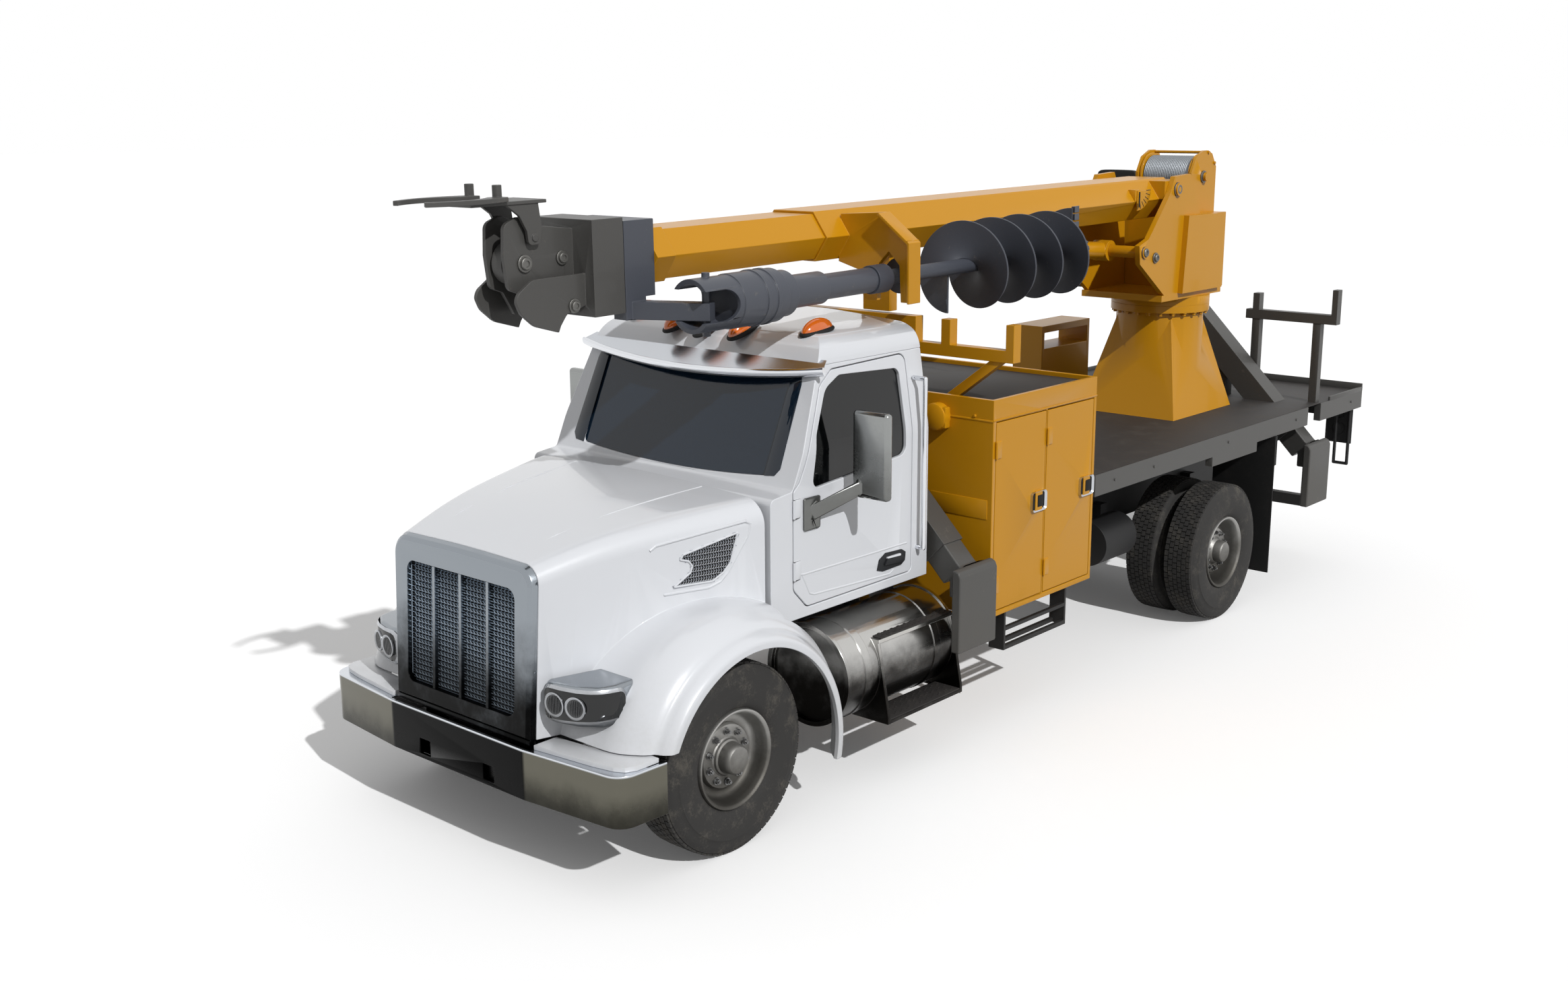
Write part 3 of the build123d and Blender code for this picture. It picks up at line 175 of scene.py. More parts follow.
# %% Enamels
def enamel(name, clean, dusty, gloss, dust_top, coat, ripple=0.25, wear=None, shine=0.4):
    material, wire, plug = begin(name, Coat_Roughness=0.06, Coat_IOR=1.45, Specular_IOR_Level=shine)
    spot = place_of(wire)
    height = wire.make("SeparateXYZ", {}, {"Vector": spot}, out=2)
    cloud = noise(wire, spot, 2.2)
    speck = noise(wire, spot, 46.0, 6, 0.7)
    low = 1 - ramp(wire, height, 0.3, dust_top)
    dust = ramp(wire, low * 0.55 + cloud * 0.5 + speck * 0.25, 0.5, 1.15)
    colour = blend_of(wire, dust, clean, dusty)
    if wear:
        chips = ramp(wire, speck * 0.6 + noise(wire, spot, 9.0) * 0.5, 0.66, 0.72)
        colour = blend_of(wire, chips * 0.5, colour, wear)
    plug({"Base Color": colour, "Roughness": dust * 0.3 + gloss, "Coat Weight": (1 - dust) * coat,
          "Normal": bump(wire, noise(wire, spot, 140.0, 2), ripple, 0.0006)})
    return material


WHITE = enamel("white_enamel", shade(207, 209, 213), shade(184, 184, 183), 0.30, 1.6, 0.7)
YELLOW = enamel("yellow_enamel", shade(190, 133, 14), shade(168, 120, 26), 0.34, 1.4, 0.12, 0.3, None, 0.2)
GREY = enamel("grey_enamel", shade(68, 67, 65), shade(86, 84, 80), 0.5, 1.9, 0.1, 0.6, shade(92, 88, 82))
BLACK = enamel("chassis_black", shade(17, 17, 18), shade(44, 42, 40), 0.55, 1.2, 0.0, 0.6)
AUGER = enamel("auger_grey", shade(60, 63, 71), shade(80, 79, 78), 0.5, 1.2, 0.0, 0.6, shade(96, 94, 92))
DRIVE = enamel("drive_grey", shade(66, 69, 77), shade(86, 86, 86), 0.46, 1.2, 0.1, 0.5, shade(96, 94, 90))
print("enamels", [m.name for m in (WHITE, YELLOW, GREY, BLACK, DRIVE, AUGER)])

# %% [markdown]
# Bare metals reflect everything. Roughness decides whether that is a mirror or a soft sheen, and
# fine scratches along the rolling direction keep polished sheet from looking like glass. Each metal
# is also painted darker towards the bottom: a painted reflection of dark ground, mottled at random.

# %% Metals
def metal(name, tone, low_reflection, gloss, reflection_low, reflection_top, stretch=(1, 1, 1), scratch=0.2, dark_reflection_within=None):
    material, wire, plug = begin(name, Metallic=1.0)
    spot = place_of(wire)
    along = place_of(wire, stretch)
    height = wire.make("SeparateXYZ", {}, {"Vector": spot}, out=2)
    cloud = noise(wire, spot, 5.0, 6, 0.65)
    streak = noise(wire, along, 60.0, 3)
    # Painted reflection: towards the bottom the colour is painted darker, as if it mirrored dark ground, with random
    # mottle.
    low = 1 - ramp(wire, height, reflection_low, reflection_top)
    painted_reflection = ramp(wire, low * 0.8 + cloud * 0.45, 0.45, 1.05)
    colour = blend_of(wire, painted_reflection, tone, low_reflection)
    # Painted reflection and highlight: the middle is painted black as a dark reflection, and a band along the top is
    # painted bright as a sky highlight.
    if dark_reflection_within:
        side = wire.math("ABSOLUTE", wire.make("SeparateXYZ", {}, {"Vector": spot}, out=1))
        painted_highlight_top = ramp(wire, height, 0.728, 0.738)
        middle = (1 - ramp(wire, side, *dark_reflection_within)) * (1 - painted_highlight_top)
        colour = blend_of(wire, middle, colour, shade(9, 9, 9))
        colour = blend_of(wire, painted_highlight_top, colour, shade(214, 218, 224))
    plug({"Base Color": colour, "Roughness": streak * 0.12 + cloud * 0.08 + painted_reflection * 0.12 + gloss,
          "Normal": bump(wire, streak, scratch, 0.0004)})
    return material


# The second colour of each metal is the painted dark reflection it takes towards the bottom.
CHROME = metal("bright_chrome", shade(222, 224, 228), shade(150, 150, 150), 0.02, 0.6, 1.6, scratch=0.03)
POD = metal("pod_chrome", shade(150, 155, 160), shade(86, 88, 90), 0.14, 0.86, 1.10, scratch=0.0)
SATIN = metal("satin_chrome", shade(196, 199, 204), shade(120, 120, 120), 0.14, 0.7, 1.5, (1, 8, 1), 0.08)
POLISHED = metal("polished_sheet", shade(196, 195, 192), shade(34, 32, 30), 0.08, 0.60, 1.05, (0.2, 6, 6), 0.1)
# The bumper's dark tone, its darker lower part and its black middle are painted dark reflection; its bright top edge
# is a painted highlight.
BUMPER = metal("bumper_chrome", shade(104, 102, 92), shade(50, 49, 44), 0.10, 0.4, 0.8, (1, 1, 12), 0.06,
               (0.56, 0.585))
SURROUND = metal("surround_chrome", shade(146, 152, 158), shade(14, 14, 14), 0.10, 0.80, 1.75, (1, 8, 1), 0.06)
SHELL = metal("mirror_shell", shade(150, 152, 151), shade(112, 113, 111), 0.10, 1.72, 2.50, scratch=0.0)
SCREEN_WIRE = metal("screen_wire", shade(150, 162, 174), shade(96, 104, 112), 0.3, 0.9, 1.4)
HUB = metal("hub_metal", shade(164, 163, 160), shade(84, 82, 78), 0.36, 0.3, 1.05, (3, 3, 3), 0.3)
ROPE = metal("rope_steel", shade(136, 140, 144), shade(104, 106, 108), 0.42, 0.0, 0.1, (40, 4, 40), 0.4)
PIN = metal("pin_steel", shade(112, 111, 108), shade(70, 69, 67), 0.42, 2.0, 3.4)
print("metals ready")

# %% [markdown]
# The rest: tyre rubber with dried mud, dark tinted glass (the windshield's blue is a painted sky reflection), amber
# and red lamp plastics, dark cab trim.

# %% Rubber, glass and plastics
def rubber(name, clean, mud, gloss, amount):
    material, wire, plug = begin(name, Specular_IOR_Level=0.25)
    spot = place_of(wire)
    cloud = noise(wire, spot, 7.0, 8, 0.7)
    grit = noise(wire, spot, 90.0, 4, 0.6)
    mask = ramp(wire, cloud * 0.8 + grit * 0.3, 0.52, 0.75) * amount
    plug({"Base Color": blend_of(wire, mask, clean, mud), "Roughness": mask * 0.15 + gloss,
          "Normal": bump(wire, cloud * 0.6 + grit * 0.4, 0.35, 0.002)})
    return material


def tinted(name, tint, alpha, gloss=0.02, coat=0.0, grain=0.0):
    material, wire, plug = begin(name, Base_Color=tint, Roughness=gloss, Coat_Weight=coat, Alpha=alpha)
    spot = place_of(wire)
    plug({"Roughness": noise(wire, spot, 12.0) * 0.05 + gloss,
          "Normal": bump(wire, noise(wire, spot, 60.0), grain, 0.0005)})
    return material


TYRE = rubber("tyre_rubber", shade(50, 49, 48), shade(96, 92, 85), 0.78, 0.65)
RUBBER = rubber("black_rubber", shade(22, 22, 22), shade(50, 48, 46), 0.7, 0.3)
DECK = rubber("deck_plate", shade(46, 44, 43), shade(70, 66, 61), 0.6, 0.5)
TRIM = rubber("cab_trim", shade(30, 31, 33), shade(44, 44, 46), 0.6, 0.4)
FABRIC = rubber("seat_cloth", shade(46, 47, 50), shade(64, 64, 66), 0.85, 0.5)
# Painted reflection: the windshield's navy blue stands for blue sky mirrored in the glass.
GLASS = tinted("screen_glass", shade(18, 34, 50), 0.90)
FRIT = tinted("screen_edge", shade(14, 27, 40), 1.0)
SIDE_GLASS = tinted("side_glass", shade(5, 6, 7), 0.95)
AMBER = tinted("amber_lens", shade(206, 98, 20), 1.0, 0.12, 0.6, 0.3)
RED = tinted("red_lens", shade(150, 16, 14), 1.0, 0.12, 0.6, 0.3)
MIRROR = tinted("mirror_face", shade(30, 32, 34), 1.0)
LAMP_DARK = tinted("lamp_dark", shade(20, 21, 22), 1.0, 0.05)
LAMP_GLASS = tinted("lamp_glass", shade(44, 46, 48), 1.0, 0.08, 0.5, 0.2)
VENT_DARK = rubber("vent_dark", shade(9, 9, 10), shade(16, 16, 17), 0.7, 0.4)
print("rubber and glass ready")

# %% [markdown]
# Real pressed and welded parts have no knife edges. A copy of each CAD node is welded at its seams,
# gets a narrow bevel along its sharp edges, and takes the node's place on the same body.

# %% Softened copies
NODE_FINISH = {
    "cab_shell": WHITE, "cab_roof": WHITE, "door_left": WHITE, "door_right": WHITE, "hood": WHITE,
    "front_bumper": BUMPER, "grille_surround": SURROUND, "cab_brightwork": CHROME, "mirror_left": SHELL,
    "mirror_right": SHELL, "fuel_tanks": POLISHED, "cab_glass": GLASS,
    "door_glass_left": SIDE_GLASS, "door_glass_right": SIDE_GLASS, "service_cabinet": YELLOW,
    "cabinet_door_front_left": YELLOW, "cabinet_door_rear_left": YELLOW, "cabinet_door_front_right": YELLOW,
    "cabinet_door_rear_right": YELLOW, "front_rack": YELLOW, "pedestal_and_side_box": YELLOW, "turret": YELLOW,
    "boom_outer": YELLOW, "lift_barrel": YELLOW, "lift_rod": CHROME, "rear_rack": GREY,
    "flatbed": GREY, "outrigger_housings": GREY, "outrigger_front_left": GREY, "outrigger_front_right": GREY,
    "outrigger_rear_left": GREY, "outrigger_rear_right": GREY, "boom_head": GREY, "pole_guide": GREY,
    "tong_left": GREY, "tong_right": GREY, "boom_collar_and_auger_drive": DRIVE, "auger": AUGER,
    "frame_rails": BLACK, "axles": BLACK, "powertrain": BLACK, "mud_flaps": RUBBER, "steps_and_tail_plates": BLACK,
    "knuckle_left": BLACK, "knuckle_right": BLACK, "winch_drum": YELLOW, "headlamps": POD, "grille_mesh": VENT_DARK,
}
EDGE = {"turret": 0.0, "mirror_left": 0.012, "mirror_right": 0.012, "cab_shell": 0.006, "door_left": 0.005,
        "door_right": 0.005, "cab_roof": 0.004, "flatbed": 0.004,
        "outrigger_front_left": 0.012, "outrigger_rear_left": 0.012, "outrigger_front_right": 0.012,
        "outrigger_rear_right": 0.012}
PLAIN_EDGE = 0.0035
SHARP = math.radians(32)


def soften(node, finish, width):
    source = frame["nodes"][node]
    mesh = source.data.copy()
    mesh.name = "soft_" + node
    work = bmesh.new()
    work.from_mesh(mesh)
    bmesh.ops.remove_doubles(work, verts=work.verts, dist=0.00002)
    bmesh.ops.dissolve_limit(work, angle_limit=math.radians(0.4), verts=work.verts, edges=work.edges)
    for face in work.faces:
        face.smooth = True
    work.to_mesh(mesh)
    work.free()
    mesh.materials.clear()
    mesh.materials.append(finish)
    mesh.set_sharp_from_angle(angle=SHARP)
    piece = bpy.data.objects.new("soft_" + node, mesh)
    bpy.context.scene.collection.objects.link(piece)
    rim = piece.modifiers.new("edge", "BEVEL")
    rim.width = width
    rim.segments = 2
    rim.limit_method = "ANGLE"
    rim.angle_limit = SHARP
    rim.use_clamp_overlap = False
    rim.miter_outer = "MITER_ARC"
    rim.harden_normals = True
    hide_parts(node)
    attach(piece, body_of[node])
    return piece


soft = {}
for node, finish in NODE_FINISH.items():
    if node in frame["nodes"]:
        soft[node] = soften(node, finish, EDGE.get(node, PLAIN_EDGE))
print("softened", len(soft))

# %% [markdown]
# New pieces start from a few points or a ready shape and are formed by operators. These helpers spin
# an outline into a ring, make a block with soft edges, push an outline into a plate, lay a round rod,
# and hand a finished mesh over as a piece that rides on a body.

# %% Tools for new pieces
AXES = {"X": Vector((1, 0, 0)), "Y": Vector((0, 1, 0)), "Z": Vector((0, 0, 1))}


def dressed(work, name, finishes, body, hides=(), sharp=32):
    """Make a finished bmesh a piece of the truck."""
    bmesh.ops.remove_doubles(work, verts=work.verts, dist=0.00001)
    bmesh.ops.recalc_face_normals(work, faces=work.faces)
    for face in work.faces:
        face.smooth = True
    mesh = bpy.data.meshes.new(name)
    work.to_mesh(mesh)
    work.free()
    for finish in finishes:
        mesh.materials.append(finish)
    mesh.set_sharp_from_angle(angle=math.radians(sharp))
    made = bpy.data.objects.new(name, mesh)
    bpy.context.scene.collection.objects.link(made)
    if hides:
        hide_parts(*hides)
    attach(made, body)
    return made


def everything(work):
    return work.verts[:] + work.edges[:] + work.faces[:]


def paint_new(work, before, number):
    for face in work.faces:
        if face not in before:
            face.material_index = number


def lathe(work, outline, centre, axis, steps, number=0):
    """Spin an outline of (along, radius) once round an axis."""
    before = set(work.faces)
    line, centre = AXES[axis], Vector(centre)
    out = AXES["X"] if axis == "Z" else AXES["Z"]
    points = [work.verts.new(centre + line * along + out * radius) for along, radius in outline]
    edges = [work.edges.new(pair) for pair in zip(points, points[1:])]
    bmesh.ops.spin(work, geom=points + edges, cent=centre, axis=line, angle=math.tau, steps=steps, use_merge=True)
    paint_new(work, before, number)


def repeat(work, centre, axis, count):
    """Copy all that is in the mesh so far, evenly round an axis."""
    bmesh.ops.spin(work, geom=everything(work), cent=Vector(centre), axis=AXES[axis],
                   angle=math.tau * (count - 1) / count, steps=count - 1, use_duplicate=True)


def join(work, part):
    mesh = bpy.data.meshes.new("join")
    part.to_mesh(mesh)
    part.free()
    work.from_mesh(mesh)
    bpy.data.meshes.remove(mesh)


def block(work, low, high, edge=0.0, number=0):
    """A box between two corners, with rounded edges."""
    before = set(work.faces)
    low, high = Vector(low), Vector(high)
    place = Matrix.Translation((low + high) / 2) @ Matrix.Diagonal((*(high - low), 1))
    made = bmesh.ops.create_cube(work, size=1.0, matrix=place)
    if edge:
        rims = {rim for point in made["verts"] for rim in point.link_edges}
        bmesh.ops.bevel(work, geom=list(rims), offset=edge, affect="EDGES", segments=2, profile=0.5, material=-1)
    paint_new(work, before, number)


def plate(work, corners, push, edge=0.0, number=0):
    """A flat outline pushed into a plate."""
    before = set(work.faces)
    face = work.faces.new([work.verts.new(corner) for corner in corners])
    pushed = bmesh.ops.extrude_face_region(work, geom=[face], use_keep_orig=True)["geom"]
    bmesh.ops.translate(work, verts=[v for v in pushed if isinstance(v, bmesh.types.BMVert)], vec=push)
    if edge:
        rims = {rim for f in work.faces if f not in before for rim in f.edges}
        bmesh.ops.bevel(work, geom=list(rims), offset=edge, affect="EDGES", segments=2, profile=0.5, material=-1)
    paint_new(work, before, number)


def rod(work, start, end, radius, sides=12, number=0, tip=None):
    before = set(work.faces)
    start, end = Vector(start), Vector(end)
    run = end - start
    place = Matrix.Translation((start + end) / 2) @ run.to_track_quat("Z", "Y").to_matrix().to_4x4()
    bmesh.ops.create_cone(work, cap_ends=True, segments=sides, radius1=radius,
                          radius2=radius if tip is None else tip, depth=run.length, matrix=place)
    paint_new(work, before, number)


def both_sides(work):
    """Add the mirror image on the passenger's side."""
    bmesh.ops.mirror(work, geom=everything(work), axis="Y", merge_dist=-1)


def other_side(work):
    bmesh.ops.scale(work, vec=(1, -1, 1), verts=work.verts)


print("tools ready")

# %% [markdown]
# Each tyre is a spun carcass. Its tread is a ring of small blocks in staggered rows: one block per row
# is cut once and copied round the wheel, as the mould of a real tyre repeats one segment.

# %% Tyres
WHEEL_R = 0.54
WALL = [(0.034, 0.283), (0.022, 0.292), (0.012, 0.312), (0.010, 0.318), (0.004, 0.345), (0.000, 0.40),
        (0.002, 0.446), (0.006, 0.450), (0.010, 0.478), (0.017, 0.502), (0.024, 0.511), (0.030, 0.523),
        (0.044, 0.528)]
TREAD = {"rows": 6, "count": 74, "long": 0.039, "deep": 0.014}


def tyre(x, near, far):
    work = bmesh.new()
    hub = Vector((x, 0, WHEEL_R))
    pitch = (far - near - 0.062) / TREAD["rows"]
    for row in range(TREAD["rows"]):
        y = near + 0.031 + pitch * (row + 0.5)
        low = Vector((x - TREAD["long"] / 2, y - pitch * 0.43, 2 * WHEEL_R - TREAD["deep"]))
        high = Vector((x + TREAD["long"] / 2, y + pitch * 0.43, 2 * WHEEL_R - (0.003 if row in (0, 5) else 0.0005)))
        start = len(work.verts)
        block(work, low, high)
        work.verts.ensure_lookup_table()
        if row % 2:
            bmesh.ops.rotate(work, verts=work.verts[start:], cent=hub,
                             matrix=Matrix.Rotation(math.pi / TREAD["count"], 3, "Y"))
    repeat(work, hub, "Y", TREAD["count"])
    outline = [(near + deep, r) for deep, r in WALL] + [(far - deep, r) for deep, r in reversed(WALL)]
    lathe(work, outline, hub, "Y", 72)
    return work


AXLES = {"front": (3.4, ((0.885, 1.175),)), "rear": (-2.185, ((0.598, 0.880), (0.928, 1.211)))}
for place, (x, spans) in AXLES.items():
    for side in ("left", "right"):
        work = bmesh.new()
        for near, far in spans:
            join(work, tyre(x, near, far))
        if side == "right":
            other_side(work)
        node = f"tyre_{place}_{side}"
        made = dressed(work, f"treaded_{place}_{side}", [TYRE], body_of[node], [node], 40)
print("tyre faces", len(made.data.polygons))

# %% [markdown]
# The wheels are dished steel: a rolled lip, a deep well, a flat flange with ten nuts, and the hub cap
# standing out of it. A lathe makes all of it, and the nuts are one six-sided prism copied round.

# %% Wheels
RIMS = {
    "front": [(1.0, 0.0), (1.0, 0.15), (1.02, 0.23), (0.906, 0.25), (0.90, 0.283), (1.155, 0.283), (1.164, 0.279),
              (1.166, 0.272), (1.160, 0.263), (1.150, 0.258), (1.120, 0.252), (1.085, 0.246), (1.062, 0.236),
              (1.052, 0.222), (1.050, 0.200), (1.056, 0.188), (1.080, 0.182), (1.086, 0.178), (1.086, 0.112),
              (1.092, 0.104), (1.104, 0.100), (1.110, 0.090), (1.150, 0.086), (1.172, 0.081), (1.181, 0.073),
              (1.183, 0.064), (1.1815, 0.058), (1.1815, 0.0)],
    "rear": [(1.0, 0.0), (1.0, 0.15), (0.98, 0.23), (0.945, 0.25), (0.942, 0.283), (1.190, 0.283), (1.198, 0.279),
             (1.199, 0.272), (1.192, 0.263), (1.180, 0.257), (1.130, 0.251), (1.060, 0.246), (1.040, 0.236),
             (1.032, 0.222), (1.034, 0.205), (1.060, 0.188), (1.100, 0.180), (1.108, 0.175), (1.108, 0.112),
             (1.114, 0.104), (1.128, 0.098), (1.136, 0.088), (1.176, 0.083), (1.194, 0.078), (1.201, 0.070),
             (1.1995, 0.058), (1.1995, 0.0)],
}
NUT_Y = {"front": 1.086, "rear": 1.108}
INNER_RIM = [(0.62, 0.25), (0.612, 0.283), (0.866, 0.283), (0.866, 0.25), (0.855, 0.19), (0.95, 0.19)]
for place, outline in RIMS.items():
    x = AXLES[place][0]
    hub = (x, 0, WHEEL_R)
    for side in ("left", "right"):
        work = bmesh.new()
        seat = Vector((x, NUT_Y[place], WHEEL_R + 0.145))
        rod(work, seat, seat + Vector((0, 0.008, 0)), 0.021, 12, 1)
        rod(work, seat, seat + Vector((0, 0.024, 0)), 0.0165, 6, 1, 0.0150)
        rod(work, seat, seat + Vector((0, 0.034, 0)), 0.009, 8, 1)
        repeat(work, hub, "Y", 10)
        lathe(work, outline, hub, "Y", 64)
        if place == "rear":
            lathe(work, INNER_RIM, hub, "Y", 48)
        if side == "right":
            other_side(work)
        node = f"rim_{place}_{side}"
        dressed(work, f"dished_{place}_{side}", [HUB, SATIN], body_of[node], [node])
print("wheels ready")

# %% [markdown]
# The grille is a woven screen behind three uprights. A flat grid with every second row shifted by half
# a cell gives the weave's brick pattern, and the wireframe operator turns its lines into wires. The
# whole screen leans back with the nose, so it is made upright and then turned.

# %% Grille screen
NOSE_FOOT = Vector((4.300, 0, 0.775))
NOSE_LEAN = Matrix.Rotation(math.radians(-3.2), 3, "Y")
CELLS = (32, 46)
SCREEN_X, SCREEN_Z = 4.318, 1.218
SCREEN_WIDE, SCREEN_HIGH = 0.912, 0.682
QUARTER = math.pi / 2
work = bmesh.new()
turned = (Matrix.Translation((SCREEN_X, 0, SCREEN_Z)) @ Matrix.Rotation(QUARTER, 4, "Y")
          @ Matrix.Rotation(QUARTER, 4, "Z"))
bmesh.ops.create_grid(work, x_segments=CELLS[0], y_segments=CELLS[1], size=0.5,
                      matrix=turned @ Matrix.Diagonal((SCREEN_WIDE, SCREEN_HIGH, 1, 1)))
for point in work.verts:
    row = round((point.co.z - SCREEN_Z + SCREEN_HIGH / 2) / (SCREEN_HIGH / CELLS[1]))
    if row % 2 and abs(point.co.y) < 0.45:
        point.co.y += SCREEN_WIDE / CELLS[0] / 2
bmesh.ops.wireframe(work, faces=work.faces[:], thickness=0.0060, offset=0.0, use_replace=True, use_boundary=True)
bmesh.ops.rotate(work, verts=work.verts, cent=NOSE_FOOT, matrix=NOSE_LEAN)
screen = dressed(work, "grille_screen", [SCREEN_WIRE], body_of["grille_mesh"], (), 60)
print("screen faces", len(screen.data.polygons))

# %% [markdown]
# Each headlamp pod has a dark lens in a bright frame that bends round the corner. A rounded outline is
# drawn flat, its rim is set off with inset, cuts divide it into strips, and then every point is moved
# onto the pod's bent front. Two round lamps sit behind the lens line, each spun from an outline.

# %% Headlamps
LAMP_BEND = [(4.268, 0.614), (4.277, 0.66), (4.2785, 0.70), (4.271, 0.76), (4.246, 0.85), (4.214, 0.91),
             (4.176, 0.95), (4.14, 0.97), (4.09, 0.985), (3.93, 0.988)]


def lamp_front(run, out=0.0):
    """A point on the pod's bent front, by the length walked along it, and the way it faces there."""
    for (x0, y0), (x1, y1) in zip(LAMP_BEND, LAMP_BEND[1:]):
        step = math.hypot(x1 - x0, y1 - y0)
        if run <= step or (x1, y1) == LAMP_BEND[-1]:
            break
        run -= step
    face = Vector(((y1 - y0) / step, (x0 - x1) / step, 0))
    return Vector((x0 + (x1 - x0) * run / step, y0 + (y1 - y0) * run / step, 0)) + face * out, face


LENS_CORNERS = ((0.016, 0.898), (0.520, 0.928), (0.520, 1.096), (0.016, 1.102))
RIM_SUNK, RIM_PROUD, LENS_PROUD = -0.002, 0.011, 0.007
LAMP_Z = 1.000
work = bmesh.new()
corners = [work.verts.new((0, run, z)) for run, z in LENS_CORNERS]
work.faces.new(corners)
bmesh.ops.bevel(work, geom=corners, offset=0.055, affect="VERTICES", segments=6, profile=0.5, material=-1)
frame_faces = bmesh.ops.inset_region(work, faces=work.faces[:], thickness=0.017, use_boundary=True,
                                     use_even_offset=True)["faces"]
for face in work.faces:
    face.material_index = 0 if face in frame_faces else 1
outer_rim = {v for e in work.edges if e.is_boundary for v in e.verts}
inner_rim = {v for face in frame_faces for v in face.verts} - outer_rim
push = {v: RIM_SUNK for v in outer_rim}
push.update({v: RIM_PROUD for v in inner_rim})
for n in range(26):
    bmesh.ops.bisect_plane(work, geom=everything(work), plane_co=(0, 0.03 + n * 0.019, 0), plane_no=(0, 1, 0))
for point in work.verts:
    out = push.get(point, RIM_SUNK if any(e.is_boundary for e in point.link_edges) else LENS_PROUD)
    point.co = lamp_front(point.co.y, out)[0] + Vector((0, 0, point.co.z))
for run, radius in ((0.105, 0.060), (0.235, 0.056)):
    lamp = bmesh.new()
    bezel = [(0.000, radius + 0.006), (0.010, radius + 0.006), (0.013, radius), (0.008, radius - 0.007)]
    lathe(lamp, bezel, (0, 0, 0), "X", 40, 0)
    lathe(lamp, [(0.008, radius - 0.007), (0.004, radius * 0.6), (0.003, 0.0)], (0, 0, 0), "X", 40, 2)
    for n in range(-4, 5):
        high = math.sqrt(max(0.0, (radius - 0.009) ** 2 - (n * 0.0105) ** 2))
        block(lamp, (0.003, n * 0.0105 - 0.0026, -high), (0.0085, n * 0.0105 + 0.0026, high), 0.001, 2)
    spot, face = lamp_front(run, 0.004)
    facing = Matrix.Rotation(math.atan2(face.y, face.x), 3, "Z")
    bmesh.ops.rotate(lamp, verts=lamp.verts, cent=(0, 0, 0), matrix=facing)
    bmesh.ops.translate(lamp, verts=lamp.verts, vec=spot + Vector((0, 0, LAMP_Z)))
    join(work, lamp)
both_sides(work)
dressed(work, "lamp_fronts", [SATIN, LAMP_DARK, LAMP_GLASS], body_of["headlamps"], (), 40)
print("headlamps ready")

# %% [markdown]
# The hood's side is a flat sheet that widens to the rear, so anything laid on it needs only the place
# along the truck and the height. A pressed bead frames the vent, and the vent itself is a near-black plate,
# a painted shade standing for the dark opening, behind a fine screen of its own.

# %% Hood vents
def hood_side(x, z, out=0.0):
    return Vector((x, 0.585 + (4.300 - x) * 0.2955 + out, z))


VENT = [(3.509, 1.469), (3.282, 1.466), (3.215, 1.505), (3.173, 1.553), (3.125, 1.716), (3.454, 1.640),
        (3.470, 1.615), (3.420, 1.600), (3.400, 1.570), (3.412, 1.535)]
BEAD = [(3.640, 1.690), (3.606, 1.712), (3.075, 1.772), (3.046, 1.755), (3.063, 1.686), (3.185, 1.500),
        (3.230, 1.455), (3.300, 1.432), (3.560, 1.435)]
BEAD_R = 0.009
work = bmesh.new()
# Painted shade: a near-black plate stands for the shadowed hollow behind the vent screen.
plate(work, [hood_side(x, z, -0.004) for x, z in VENT], (0, 0.006, 0))
for (ax, az), (bx, bz) in zip(VENT, VENT[1:] + VENT[:1]):
    rod(work, hood_side(ax, az, 0.002), hood_side(bx, bz, 0.002), 0.006, 8, 1)
for (ax, az), (bx, bz) in zip(BEAD, BEAD[1:]):
    end = hood_side(bx, bz, -0.004)
    rod(work, hood_side(ax, az, -0.004), end, BEAD_R, 10, 1)
    bmesh.ops.create_icosphere(work, subdivisions=2, radius=BEAD_R, matrix=Matrix.Translation(end))
for face in work.faces:
    if len(face.verts) == 3:
        face.material_index = 1
both_sides(work)
dressed(work, "hood_vents", [VENT_DARK, WHITE], body_of["hood"])

weave = bmesh.new()
spread = (3.12, 3.51, 1.462, 1.718)
bmesh.ops.create_grid(weave, x_segments=26, y_segments=17, size=0.5)
for point in weave.verts:
    row = round((point.co.y + 0.5) * 17)
    shift = 0.5 / 26 if row % 2 else 0.0
    x = spread[0] + (spread[1] - spread[0]) * (point.co.x + 0.5 + shift)
    z = spread[2] + (spread[3] - spread[2]) * (point.co.y + 0.5)
    point.co = hood_side(x, z, 0.003)


def inside_vent(x, z):
    hits = 0
    for (ax, az), (bx, bz) in zip(VENT, VENT[1:] + VENT[:1]):
        if (az > z) != (bz > z) and x < ax + (bx - ax) * (z - az) / (bz - az):
            hits += 1
    return hits % 2 == 1


loose = [f for f in weave.faces if not inside_vent(f.calc_center_median().x, f.calc_center_median().z)]
bmesh.ops.delete(weave, geom=loose, context="FACES")
bmesh.ops.wireframe(weave, faces=weave.faces[:], thickness=0.0042, offset=0.0, use_replace=True, use_boundary=True)
both_sides(weave)
vent_screen = dressed(weave, "vent_screens", [SATIN], body_of["hood"], (), 60)
print("vents ready", len(vent_screen.data.polygons))

# %% [markdown]
# Two crease lines run along the top of the hood, where the raised middle meets the flat shoulders. A
# slim sunk rod in the same enamel catches the light the way a pressed crease does. A white apron
# bridges bumper and fenders, a dark plate closes the bumper's hollow, and a foot ends the grille.

# %% Hood creases, bumper apron and grille foot
work = bmesh.new()
HOOD_TOP = [(4.255, 0.36, 1.690), (3.97, 0.40, 1.781), (3.60, 0.45, 1.844), (3.30, 0.49, 1.873), (2.99, 0.53, 1.892)]
SUNK = Vector((0, 0, 0.0053))
for start, end in zip(HOOD_TOP, HOOD_TOP[1:]):
    rod(work, Vector(start) - SUNK, Vector(end) - SUNK, 0.006, 10)
both_sides(work)
dressed(work, "hood_creases", [WHITE], body_of["hood"], (), 60)

